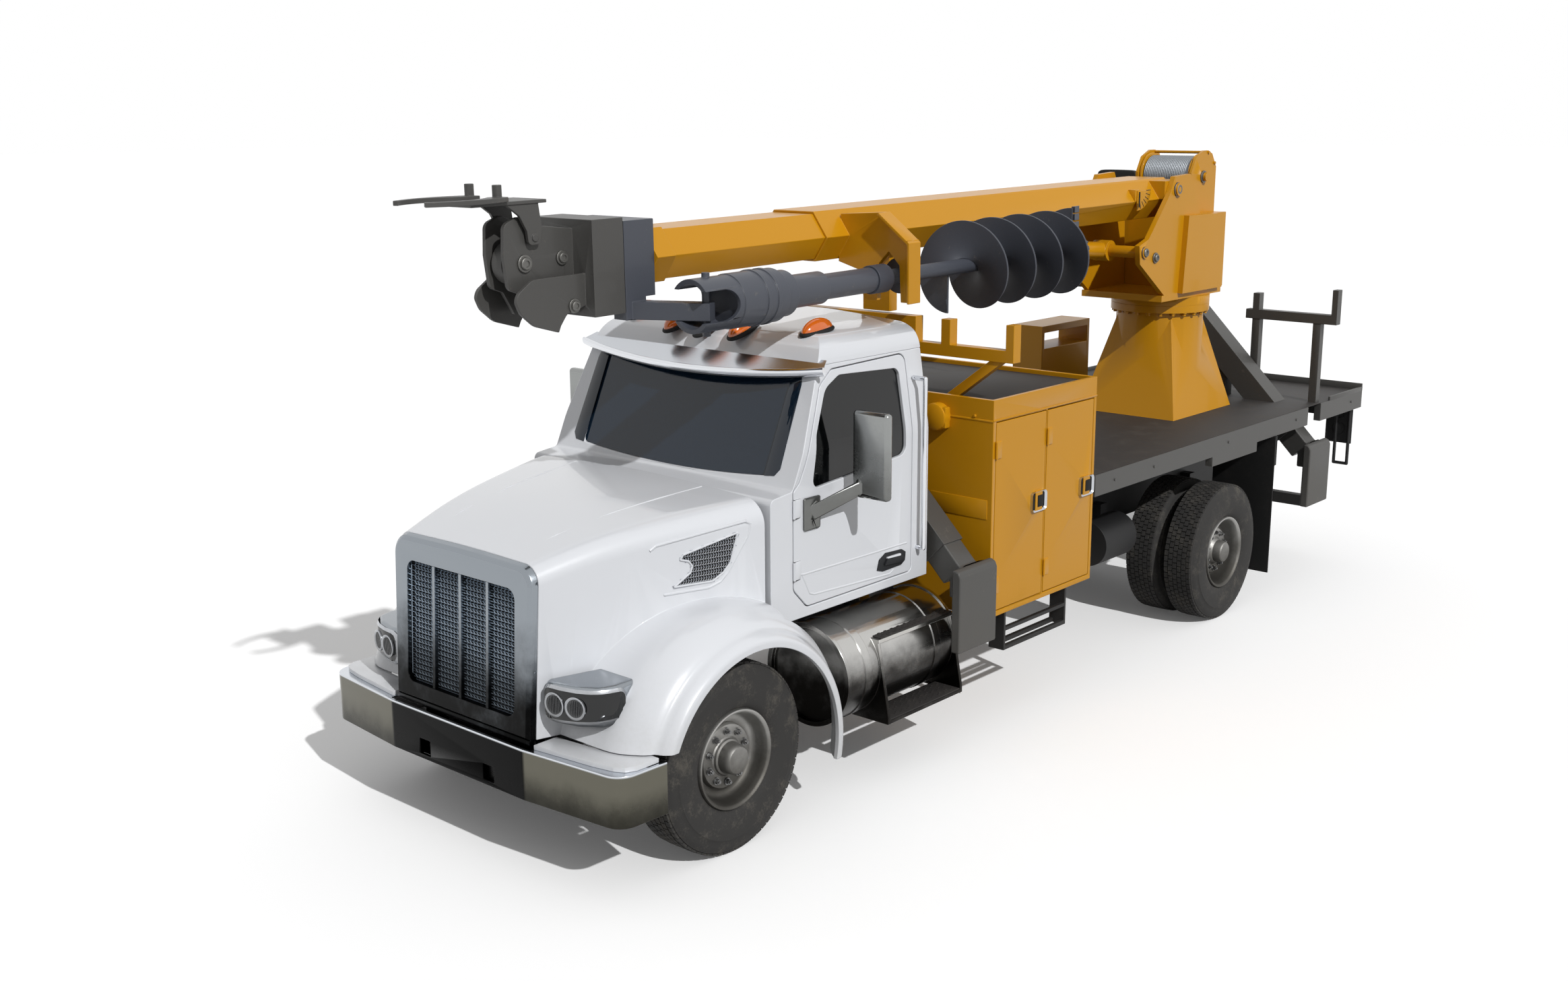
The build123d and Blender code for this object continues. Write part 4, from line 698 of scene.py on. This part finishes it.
work = bmesh.new()
APRON = [(4.345, 0.612), (4.300, 1.010), (4.275, 1.140), (4.245, 1.195), (4.19, 1.222), (4.04, 1.228),
         (4.04, 1.02), (4.16, 0.90), (4.19, 0.612)]
plate(work, [(x, y, 0.7425) for x, y in APRON], (0, 0, 0.026), 0.004)
both_sides(work)
dressed(work, "bumper_apron", [WHITE], "chassis")

HOLLOW = [(4.345, -0.55), (4.345, 0.55), (4.285, 1.14), (4.22, 1.20), (4.05, 1.205), (4.05, -1.205), (4.22, -1.20),
          (4.285, -1.14)]
work = bmesh.new()
plate(work, [(x, y, 0.600) for x, y in HOLLOW], (0, 0, 0.006))
dressed(work, "bumper_floor", [BLACK], "chassis")

work = bmesh.new()
block(work, (4.300, -0.575, 0.746), (4.343, 0.575, 0.779), 0.006)
dressed(work, "grille_foot", [SURROUND], body_of["grille_surround"])
print("creases and apron")

# %% [markdown]
# The sun visor's front edge is rolled over into a thick bright lip. Its path is an arc, so a small
# circle is spun part of a turn about the arc's centre, in the visor's own tilted plane. Behind it a
# sheet closes the visor to the roof.

# %% Visor
TIP_Y, REACH, END_REACH, SLOPE = 1.0, 0.278, 0.145, math.radians(26)
bow = (TIP_Y ** 2 + (REACH - END_REACH) ** 2) / (2 * (REACH - END_REACH))
half_turn = math.asin(TIP_Y / bow)
visor_plane = Matrix.Translation((2.342, 0, 2.588)) @ Matrix.Rotation(SLOPE, 4, "Y")
work = bmesh.new()
ring = bmesh.ops.create_circle(work, segments=14, radius=1.0, cap_ends=False)["verts"]
bmesh.ops.transform(work, matrix=Matrix.Translation((bow, 0, 0)) @ Matrix.Rotation(QUARTER, 4, "X")
                    @ Matrix.Diagonal((0.017, 0.028, 1, 1)), verts=ring)
bmesh.ops.rotate(work, verts=ring, cent=(0, 0, 0), matrix=Matrix.Rotation(-half_turn, 3, "Z"))
bmesh.ops.spin(work, geom=everything(work), cent=(0, 0, 0), axis=(0, 0, 1), angle=2 * half_turn, steps=48)
bmesh.ops.holes_fill(work, edges=[e for e in work.edges if e.is_boundary], sides=20)
bmesh.ops.translate(work, verts=work.verts, vec=(REACH - bow, 0, 0.002))
edge_line = [(bow * math.cos(a) + REACH - bow, bow * math.sin(a), 0.014)
             for a in (half_turn * (n / 16 - 1) for n in range(33))]
plate(work, edge_line + [(0.06, 0.96, 0.014), (0.06, -0.96, 0.014)], (0, 0, 0.006), 0.0, 1)
bmesh.ops.transform(work, matrix=visor_plane, verts=work.verts)
dressed(work, "visor_lip", [CHROME, SATIN], body_of["cab_brightwork"], (), 60)
print("visor lip, bow radius", round(bow, 3))

# %% [markdown]
# Five amber lamps stand on the brow. Each is a long dome cut off level with the roof, in a dark gasket.
# The windshield has a dark printed edge, laid on the sloping frame beside the glass.

# %% Roof lamps and glass edge
work = bmesh.new()
ROOF_LAMPS = ((2.205, -0.72, 6), (2.345, -0.27, 20), (2.360, 0.0, 22), (2.345, 0.27, 20), (2.205, 0.72, 6))
for x, y, nod in ROOF_LAMPS:
    dome = bmesh.new()
    for length, wide, high, number in ((0.130, 0.055, 0.078, 0), (0.142, 0.066, 0.030, 1)):
        before = set(dome.faces)
        ball = bmesh.ops.create_uvsphere(dome, u_segments=28, v_segments=14, radius=1.0)["verts"]
        bmesh.ops.transform(dome, matrix=Matrix.Diagonal((length, wide, high, 1)), verts=ball)
        paint_new(dome, before, number)
    bmesh.ops.bisect_plane(dome, geom=everything(dome), plane_co=(0, 0, -0.012), plane_no=(0, 0, 1), clear_inner=True)
    bmesh.ops.rotate(dome, verts=dome.verts, cent=(0, 0, 0), matrix=Matrix.Rotation(math.radians(nod), 3, "Y"))
    bmesh.ops.translate(dome, verts=dome.verts, vec=(x, y, 2.721 - nod * 0.0014 - abs(y) * 0.012))
    join(work, dome)
dressed(work, "amber_lamps", [AMBER, RUBBER], body_of["roof_lamps"], ["roof_lamps"], 60)

work = bmesh.new()
GLASS_EDGE = [(0.764, 1.938), (0.838, 1.946), (0.868, 1.985), (0.850, 2.44), (0.822, 2.53), (0.764, 2.545)]
GLASS_FOOT_X, GLASS_FOOT_Z, GLASS_LEAN = 2.745, 1.885, 0.4549
on_frame = [(GLASS_FOOT_X - GLASS_LEAN * (z - GLASS_FOOT_Z) - 0.001, y, z) for y, z in GLASS_EDGE]
plate(work, on_frame, (0.0030, 0, 0.0014), 0.001)
both_sides(work)
dressed(work, "glass_edge", [FRIT], body_of["cab_glass"])
print("roof lamps and glass edge")

# %% [markdown]
# The doors carry a black handle in a dished cup and a pressed trench below it.
# The trench is shown by its two rounded edges.

# %% Door fittings
HANDLE = [(1.985, 1.262), (1.965, 1.325), (1.905, 1.356), (1.745, 1.348), (1.706, 1.325), (1.712, 1.272),
          (1.750, 1.250), (1.93, 1.246)]
GRIP = [(1.93, 1.285), (1.90, 1.325), (1.76, 1.318), (1.735, 1.300), (1.75, 1.272)]
TRENCH = [(2.690, 1.395), (2.666, 1.386), (1.690, 1.376)]
TRENCH_LOW = [(2.666, 1.386), (2.600, 1.262), (2.560, 1.248), (1.860, 1.214), (1.820, 1.232)]
for side, sign in (("left", 1), ("right", -1)):
    work = bmesh.new()
    plate(work, [(x, 0.998, z) for x, z in HANDLE], (0, 0.010, 0), 0.004, 0)
    plate(work, [(x, 1.006, z) for x, z in GRIP], (0, 0.020, 0), 0.007, 0)
    for line in (TRENCH, TRENCH_LOW):
        for (ax, az), (bx, bz) in zip(line, line[1:]):
            rod(work, (ax, 0.9955, az), (bx, 0.9955, bz), 0.008, 10, 1)
    if sign < 0:
        other_side(work)
    dressed(work, f"door_fittings_{side}", [TRIM, WHITE], body_of[f"door_{side}"])
print("door fittings")

# %% [markdown]
# Latches on the cabinet doors are black cups in bright frames. The frame is a bevelled block with an
# inset face pushed in. The tray on the roof and the pressed panel in front are plain plates.

# %% Cabinet fittings
LATCHES = {"front": 0.580, "rear": -0.006}
for place, x in LATCHES.items():
    for side, sign in (("left", 1), ("right", -1)):
        work = bmesh.new()
        block(work, (x - 0.085, 1.219, 1.403), (x + 0.085, 1.240, 1.537), 0.0, 0)
        uprights = [e for e in work.edges if abs(e.verts[0].co.y - e.verts[1].co.y) > 0.01]
        bmesh.ops.bevel(work, geom=uprights, offset=0.028, affect="EDGES", segments=5, profile=0.5, material=-1)
        face = max(work.faces, key=lambda f: f.calc_center_median().y)
        bmesh.ops.inset_region(work, faces=[face], thickness=0.013, depth=-0.012)
        face.material_index = 1
        block(work, (x - 0.040, 1.226, 1.430), (x + 0.020, 1.238, 1.510), 0.006, 1)
        if sign < 0:
            other_side(work)
        node = f"cabinet_door_{place}_{side}"
        dressed(work, f"latch_{place}_{side}", [SATIN, VENT_DARK], body_of[node])

work = bmesh.new()
block(work, (-0.085, -1.189, 2.160), (1.074, 1.189, 2.172), 0.002, 0)
block(work, (1.100, 0.745, 1.436), (1.109, 1.186, 1.562), 0.003, 1)
block(work, (1.100, -1.222, 2.062), (1.109, 1.222, 2.074), 0.003, 1)
for low, high in ((1.216, 1.2245), (-1.2245, -1.216)):
    block(work, (-0.118, low, 2.066), (1.108, high, 2.078), 0.003, 1)
BOSS = [(1.104, 0.0), (1.104, 0.088), (1.150, 0.090), (1.168, 0.084), (1.178, 0.066), (1.181, 0.0)]
lathe(work, BOSS, (0, 0.805, 2.058), "X", 32, 1)
block(work, (1.104, 0.805, 1.990), (1.160, 0.892, 2.126), 0.010, 1)
for n in range(9):
    y = -1.08 + n * 0.27
    lathe(work, [(1.104, 0.011), (1.112, 0.010), (1.115, 0.006), (1.1155, 0.0)], (0, y, 2.09), "X", 12, 1)
dressed(work, "cabinet_trim", [DECK, YELLOW], "chassis")
print("cabinet fittings")

# %% [markdown]
# The bed is covered with dark plate and has a raised lip at its tail. Steps get worn tread strips, and
# red lamps sit in the tail plates.

# %% Deck, lips and treads
work = bmesh.new()
block(work, (-4.612, -1.212, 1.5115), (-0.142, 1.212, 1.5145), 0.001, 0)
block(work, (-4.630, -1.220, 1.505), (-4.612, 1.220, 1.572), 0.003, 1)
for sign in (1, -1):
    block(work, (-4.630, 1.202 * sign, 1.505), (-3.95, 1.220 * sign, 1.545), 0.003, 1)
    for x in (-4.40, -3.30, -2.10, -0.95, -0.40):
        lathe(work, [(1.2192, 0.0105), (1.227, 0.0095), (1.2275, 0.0)], (x, 0, 1.440), "Y", 12, 1)
dressed(work, "deck_cover", [DECK, GREY], "chassis")

work = bmesh.new()
TREADS = (((1.402, 1.012, 0.8915), (2.108, 1.138, 0.899)), ((1.402, 1.02, 0.3995), (2.108, 1.213, 0.407)))
for low, high in TREADS:
    block(work, low, high, 0.002, 0)
    for n in range(22):
        for k in range(3):
            y = low[1] + (high[1] - low[1]) * (k + 0.6 + 0.3 * (n % 2)) / 3.5
            x = low[0] + 0.018 + n * 0.0316
            block(work, (x - 0.010, y - 0.003, high[2] - 0.001), (x + 0.010, y + 0.003, high[2] + 0.003), 0.0, 0)
both_sides(work)
dressed(work, "step_treads", [DECK], "chassis")

work = bmesh.new()
for z in (1.300, 1.150):
    lathe(work, [(-4.639, 0.056), (-4.652, 0.054), (-4.656, 0.046), (-4.654, 0.044)], (0, 1.030, z), "X", 28, 1)
    lathe(work, [(-4.654, 0.044), (-4.657, 0.030), (-4.658, 0.0)], (0, 1.030, z), "X", 28, 0)
both_sides(work)
bmesh.ops.translate(work, verts=work.verts, vec=(0.020, 0, 0))
dressed(work, "tail_lamps", [RED, RUBBER], "chassis")
print("deck, treads and tail lamps")

# %% [markdown]
# The winch drum is full of wire rope. Seen from outside, a full layer is a row of rounded turns, so
# its outline is a row of half circles, spun about the drum's shaft.

# %% Winch rope
WINCH = (-2.890, 0, 3.405)
TURNS, ROPE_R = 27, 0.0075
outline = [(0.026, 0.120)]
for turn_number in range(TURNS):
    middle = 0.0345 + turn_number * (0.391 / (TURNS - 1))
    for step in range(5):
        angle = math.pi * step / 5
        outline.append((middle - ROPE_R * math.cos(angle), 0.158 + ROPE_R * math.sin(angle)))
outline += [(0.4335, 0.158), (0.434, 0.120)]
work = bmesh.new()
lathe(work, outline, WINCH, "Y", 40)
dressed(work, "rope_layer", [ROPE], body_of["winch_drum"], (), 60)
print("rope turns", TURNS)

# %% [markdown]
# Bolts and pin heads show where the crane comes apart: a ring of bolts under the slewing ring, and
# capped pins at the boom's pivot, the lift cylinder, the winch and the boom head.

# %% Bolts and pins
SLEW = (-2.736, 0.230, 0)
work = bmesh.new()
rod(work, (SLEW[0] + 0.372, SLEW[1], 2.341), (SLEW[0] + 0.372, SLEW[1], 2.318), 0.0155, 6)
rod(work, (SLEW[0] + 0.372, SLEW[1], 2.341), (SLEW[0] + 0.372, SLEW[1], 2.335), 0.022, 12)
repeat(work, SLEW, "Z", 24)
dressed(work, "ring_bolts", [YELLOW], "chassis")


PIN_FORM = [(0.0, 1.35), (0.010, 1.35), (0.012, 1.28), (0.012, 1.0), (0.022, 0.96), (0.026, 0.84), (0.026, 0.5),
            (0.020, 0.44), (0.020, 0.0)]


def pin_head(work, x, y, z, radius, sign=1):
    lathe(work, [(along * sign, radius * share) for along, share in PIN_FORM], (x, y, z), "Y", 28)


work = bmesh.new()
for x, z, radius in ((-2.268, 3.333, 0.040), (-1.798, 2.876, 0.034), (-1.965, 2.825, 0.030)):
    pin_head(work, x, 0.590, z, radius)
    pin_head(work, x, -0.130, z, radius, -1)
pin_head(work, -2.890, 0.480, 3.405, 0.036)
pin_head(work, -2.890, -0.020, 3.405, 0.036, -1)
dressed(work, "turret_pins", [PIN], body_of["turret"])

DROP = math.radians(0.73)
PIVOT = Vector((-2.268, 0, 3.333))


def lowered(work):
    """Turn a piece made on the level boom down with it, about the boom's pivot."""
    bmesh.ops.rotate(work, verts=work.verts, cent=PIVOT, matrix=Matrix.Rotation(DROP, 3, "Y"))


work = bmesh.new()
for x, z, radius, out in ((3.781, 3.296, 0.028, 0.085), (3.785, 3.051, 0.028, 0.172), (4.030, 3.285, 0.034, 0.085)):
    for sign in (1, -1):
        pin_head(work, x, 0.230 + out * sign, z, radius, sign)
lowered(work)
dressed(work, "head_pins", [PIN], body_of["boom_head"])
print("bolts and pins")

# %% [markdown]
# A quadrant on the boom's side shows its angle. It is a small plate with a row of ticks and a pendulum.

# %% Angle quadrant
work = bmesh.new()
centre = Vector((-1.80, 0, 3.338))
TICK_Y = Vector((0, 0.513, 0))
fan = [centre]
for a in range(0, 91, 10):
    fan.append(centre + Vector((-0.20 * math.sin(math.radians(a)), 0, -0.15 * math.cos(math.radians(a)))))
plate(work, [Vector((p.x, 0.500, p.z)) for p in fan], (0, 0.012, 0), 0.002, 0)
for a in range(0, 91, 15):
    way = Vector((-math.sin(math.radians(a)) * 1.33, 0, -math.cos(math.radians(a))))
    rod(work, centre + way * 0.095 + TICK_Y, centre + way * 0.140 + TICK_Y, 0.0025, 6, 1)
rod(work, centre + Vector((-0.02, 0.516, -0.01)), centre + Vector((-0.02, 0.516, -0.125)), 0.006, 8, 1)
block(work, (-1.84, 0.42, 3.255), (-1.78, 0.502, 3.345), 0.004, 0)
dressed(work, "angle_quadrant", [YELLOW, BLACK], body_of["boom_outer"])
print("quadrant")

# %% [markdown]
# Behind the dark glass are two seats, a dashboard and a wheel. Seats are padded, so each cushion starts
# as a divided box whose points are drawn in at the corners and crowned in the middle, then subdivided.

# %% Cab inside
def cushion(name, low, high, crown, body, finish, hides=()):
    work = bmesh.new()
    low, high = Vector(low), Vector(high)
    size, middle = high - low, (low + high) / 2
    bmesh.ops.create_cube(work, size=1.0)
    bmesh.ops.subdivide_edges(work, edges=work.edges[:], cuts=7, use_grid_fill=True)
    for point in work.verts:
        u, v, w = (2 * c for c in point.co)
        pull = [1 - 0.10 * (1 - a * a) * abs(b * c) ** 2 for a, b, c in ((u, v, w), (v, u, w), (w, u, v))]
        round_off = 1 - 0.06 * (abs(u * v) ** 3 + abs(u * w) ** 3 + abs(v * w) ** 3) / 3
        point.co = Vector((u * pull[1] * round_off, v * pull[0] * round_off, w * round_off))
        full = (1 - u * u) * (1 - v * v) if crown == "top" else (1 - v * v) * (1 - w * w)
        if crown == "top":
            point.co.z += 0.10 * full if w > 0 else 0.0
            groove = max(0.0, 1 - abs(abs(v) - 0.42) / 0.08)
            point.co.z -= 0.06 * groove if w > 0.9 else 0.0
            point.co.z *= 0.94
        else:
            point.co.x += 0.14 * full if u > 0 else 0.0
            groove = max(0.0, 1 - abs(abs(v) - 0.42) / 0.08)
            point.co.x -= 0.10 * groove if u > 0.9 else 0.0
            point.co.x *= 0.90
    bmesh.ops.scale(work, vec=size / 2, verts=work.verts)
    bmesh.ops.translate(work, vec=middle, verts=work.verts)
    made = dressed(work, name, [finish], body, hides, 80)
    made.modifiers.new("soft", "SUBSURF").levels = 1
    made.modifiers["soft"].render_levels = 1
    return made


inside, cloth = body_of["cab_interior"], slot_of["cab_interior"]
work = bmesh.new()
DASH = [(2.8845, 1.40), (2.8845, 1.780), (2.70, 1.808), (2.64, 1.808), (2.575, 1.775), (2.562, 1.74), (2.60, 1.50)]
plate(work, [(x, -0.9, z) for x, z in DASH], (0, 1.8, 0), 0.012)
for y in (0.36, 0.48, 0.60):
    lathe(work, [(2.576, 0.044), (2.568, 0.046), (2.562, 0.040), (2.566, 0.0)], (0, y, 1.705), "X", 24, 1)
for y in (0.48, -0.48):
    block(work, (1.80, y - 0.21, 1.176), (2.20, y + 0.21, 1.40), 0.02)
    block(work, (1.641, y - 0.20, 1.40), (1.70, y + 0.20, 2.12), 0.02)
wheel = bmesh.new()
ring = bmesh.ops.create_circle(wheel, segments=12, radius=0.016, cap_ends=False)["verts"]
bmesh.ops.transform(wheel, matrix=Matrix.Translation((0.225, 0, 0)) @ Matrix.Rotation(QUARTER, 4, "X"), verts=ring)
bmesh.ops.spin(wheel, geom=everything(wheel), cent=(0, 0, 0), axis=(0, 0, 1), angle=math.tau, steps=40,
               use_merge=True)
for a in (90, 210, 330):
    rod(wheel, (0, 0, -0.012), (0.22 * math.cos(math.radians(a)), 0.22 * math.sin(math.radians(a)), 0), 0.014, 10)
lathe(wheel, [(-0.04, 0.0), (-0.04, 0.045), (0.0, 0.052), (0.012, 0.04), (0.016, 0.0)], (0, 0, 0), "Z", 24)
rod(wheel, (0, 0, -0.03), (0, 0, -0.16), 0.026, 16)
lean = Vector((-0.8, 0, 0.6)).to_track_quat("Z", "Y").to_matrix().to_4x4()
bmesh.ops.transform(wheel, matrix=Matrix.Translation((2.44, 0.48, 1.85)) @ lean, verts=wheel.verts)
join(work, wheel)
dressed(work, "dash_and_wheel", [TRIM, LAMP_DARK], inside, ["cab_interior"])
for side, y in (("left", 0.48), ("right", -0.48)):
    cushion(f"seat_{side}", (1.785, y - 0.25, 1.405), (2.255, y + 0.25, 1.555), "top", inside, FABRIC)
    cushion(f"seat_back_{side}", (1.665, y - 0.25, 1.46), (1.795, y + 0.25, 2.19), "front", inside, FABRIC)
print("cab inside")

# %% [markdown]
# The operator rides on a platform beside the turret: a plate, a padded seat with its back, and a
# console with a row of levers.

# %% Operator station
station, tone = body_of["operator_station"], slot_of["operator_station"]
work = bmesh.new()
block(work, (-3.449, -0.719, 2.4805), (-2.601, -0.1305, 2.5195), 0.004)
for x in (-3.44, -2.62):
    rod(work, (x, -0.70, 2.51), (x, -0.70, 2.86), 0.016)
rod(work, (-3.44, -0.70, 2.86), (-2.62, -0.70, 2.86), 0.016)
block(work, (-3.06, -0.54, 2.52), (-2.80, -0.34, 2.80), 0.02)
block(work, (-3.208, -0.60, 2.74), (-3.165, -0.28, 3.40), 0.012)
block(work, (-3.19, -0.62, 2.79), (-2.72, -0.26, 2.83), 0.01)
block(work, (-2.668, -0.639, 2.521), (-2.612, -0.241, 3.05), 0.012)
for n in range(6):
    y = -0.60 + n * 0.064
    rod(work, (-2.64, y, 3.04), (-2.652, y, 3.122), 0.006, 8)
    bmesh.ops.create_icosphere(work, subdivisions=2, radius=0.014, matrix=Matrix.Translation((-2.653, y, 3.13)))
dressed(work, "station_frame", [BLACK], station, ["operator_station"])
cushion("station_seat", (-3.155, -0.635, 2.83), (-2.715, -0.245, 2.955), "top", station, RUBBER)
cushion("station_back", (-3.172, -0.635, 2.96), (-3.092, -0.245, 3.435), "front", station, RUBBER)
print("operator station")

# %% [markdown]
# Dark mirror glass fills the backs of the mirror heads, a tall pane over a small one.

# %% Mirror glass
for side, sign in (("left", 1), ("right", -1)):
    work = bmesh.new()
    block(work, (2.2665, 1.105, 1.965), (2.2715, 1.320, 2.275), 0.0015, 0)
    block(work, (2.2665, 1.105, 1.820), (2.2715, 1.320, 1.950), 0.0015, 0)
    if sign < 0:
        other_side(work)
    dressed(work, f"mirror_glass_{side}", [MIRROR], body_of[f"mirror_{side}"])
print("mirror glass")

# %% [markdown]
# The ground is one large pale sheet that keeps the truck's shadow. Rays that show the background see it
# white, and so they see the sky. Other rays find both dimmer, so that pale paint does not wash out. The
# sun stands high on the left, and the sky is brighter overhead than near the ground.

# %% Floor, sun and sky
work = bmesh.new()
bmesh.ops.create_grid(work, x_segments=1, y_segments=1, size=150.0)
sheet = bpy.data.meshes.new("floor")
work.to_mesh(sheet)
work.free()
floor = bpy.data.objects.new("floor", sheet)
bpy.context.scene.collection.objects.link(floor)
FLOOR_BOUNCE, FLOOR_LIFT = 0.30, 0.06
SKY_LOW, SKY_RISE = 0.24, 0.30
SUN_POWER = 2.75
pale, wire, plug = begin("pale_floor", Roughness=1.0, Specular_IOR_Level=0.0, Emission_Strength=1.0)


def background_rays(wire):
    """1 for the rays that show the background, straight or by way of metal or glass."""
    kinds = [wire.make("LightPath", out=kind) for kind in ("Is Camera Ray", "Is Glossy Ray", "Is Transmission Ray")]
    return wire.math("MAXIMUM", wire.math("MAXIMUM", kinds[0], kinds[1]), kinds[2])


shown = background_rays(wire)
plug({"Base Color": shown * (1 - FLOOR_BOUNCE) + FLOOR_BOUNCE, "Emission Color": shown * FLOOR_LIFT})
sheet.materials.append(pale)

SUN_FROM = Vector((0.233, 0.748, 0.62)).normalized()
lamp = bpy.data.lights.new("sun", "SUN")
lamp.energy = SUN_POWER
lamp.angle = math.radians(0.9)
sun = bpy.data.objects.new("sun", lamp)
sun.rotation_euler = SUN_FROM.to_track_quat("Z", "Y").to_euler()
bpy.context.scene.collection.objects.link(sun)

sky = bpy.data.worlds.new("sky")
sky.use_nodes = True
bpy.context.scene.world = sky
wire = Wire(sky.node_tree)
overhead = wire.make("SeparateXYZ", {}, {"Vector": wire.make("TexCoord", out="Generated")}, out=2)
soft_sky = wire.math("MAXIMUM", overhead, 0.0) * SKY_RISE + SKY_LOW
shown = background_rays(wire)
level = soft_sky + shown * (1 - soft_sky)
sky_light = sky.node_tree.nodes["Background"]
sky_light.inputs["Color"].default_value = (1, 1, 1, 1)
sky.node_tree.links.new(level.socket, sky_light.inputs["Strength"])
bpy.context.scene.view_settings.view_transform = "Standard"
print("floor, sun and sky")

# %% [markdown]

# %% Finish
print("scene dressed")
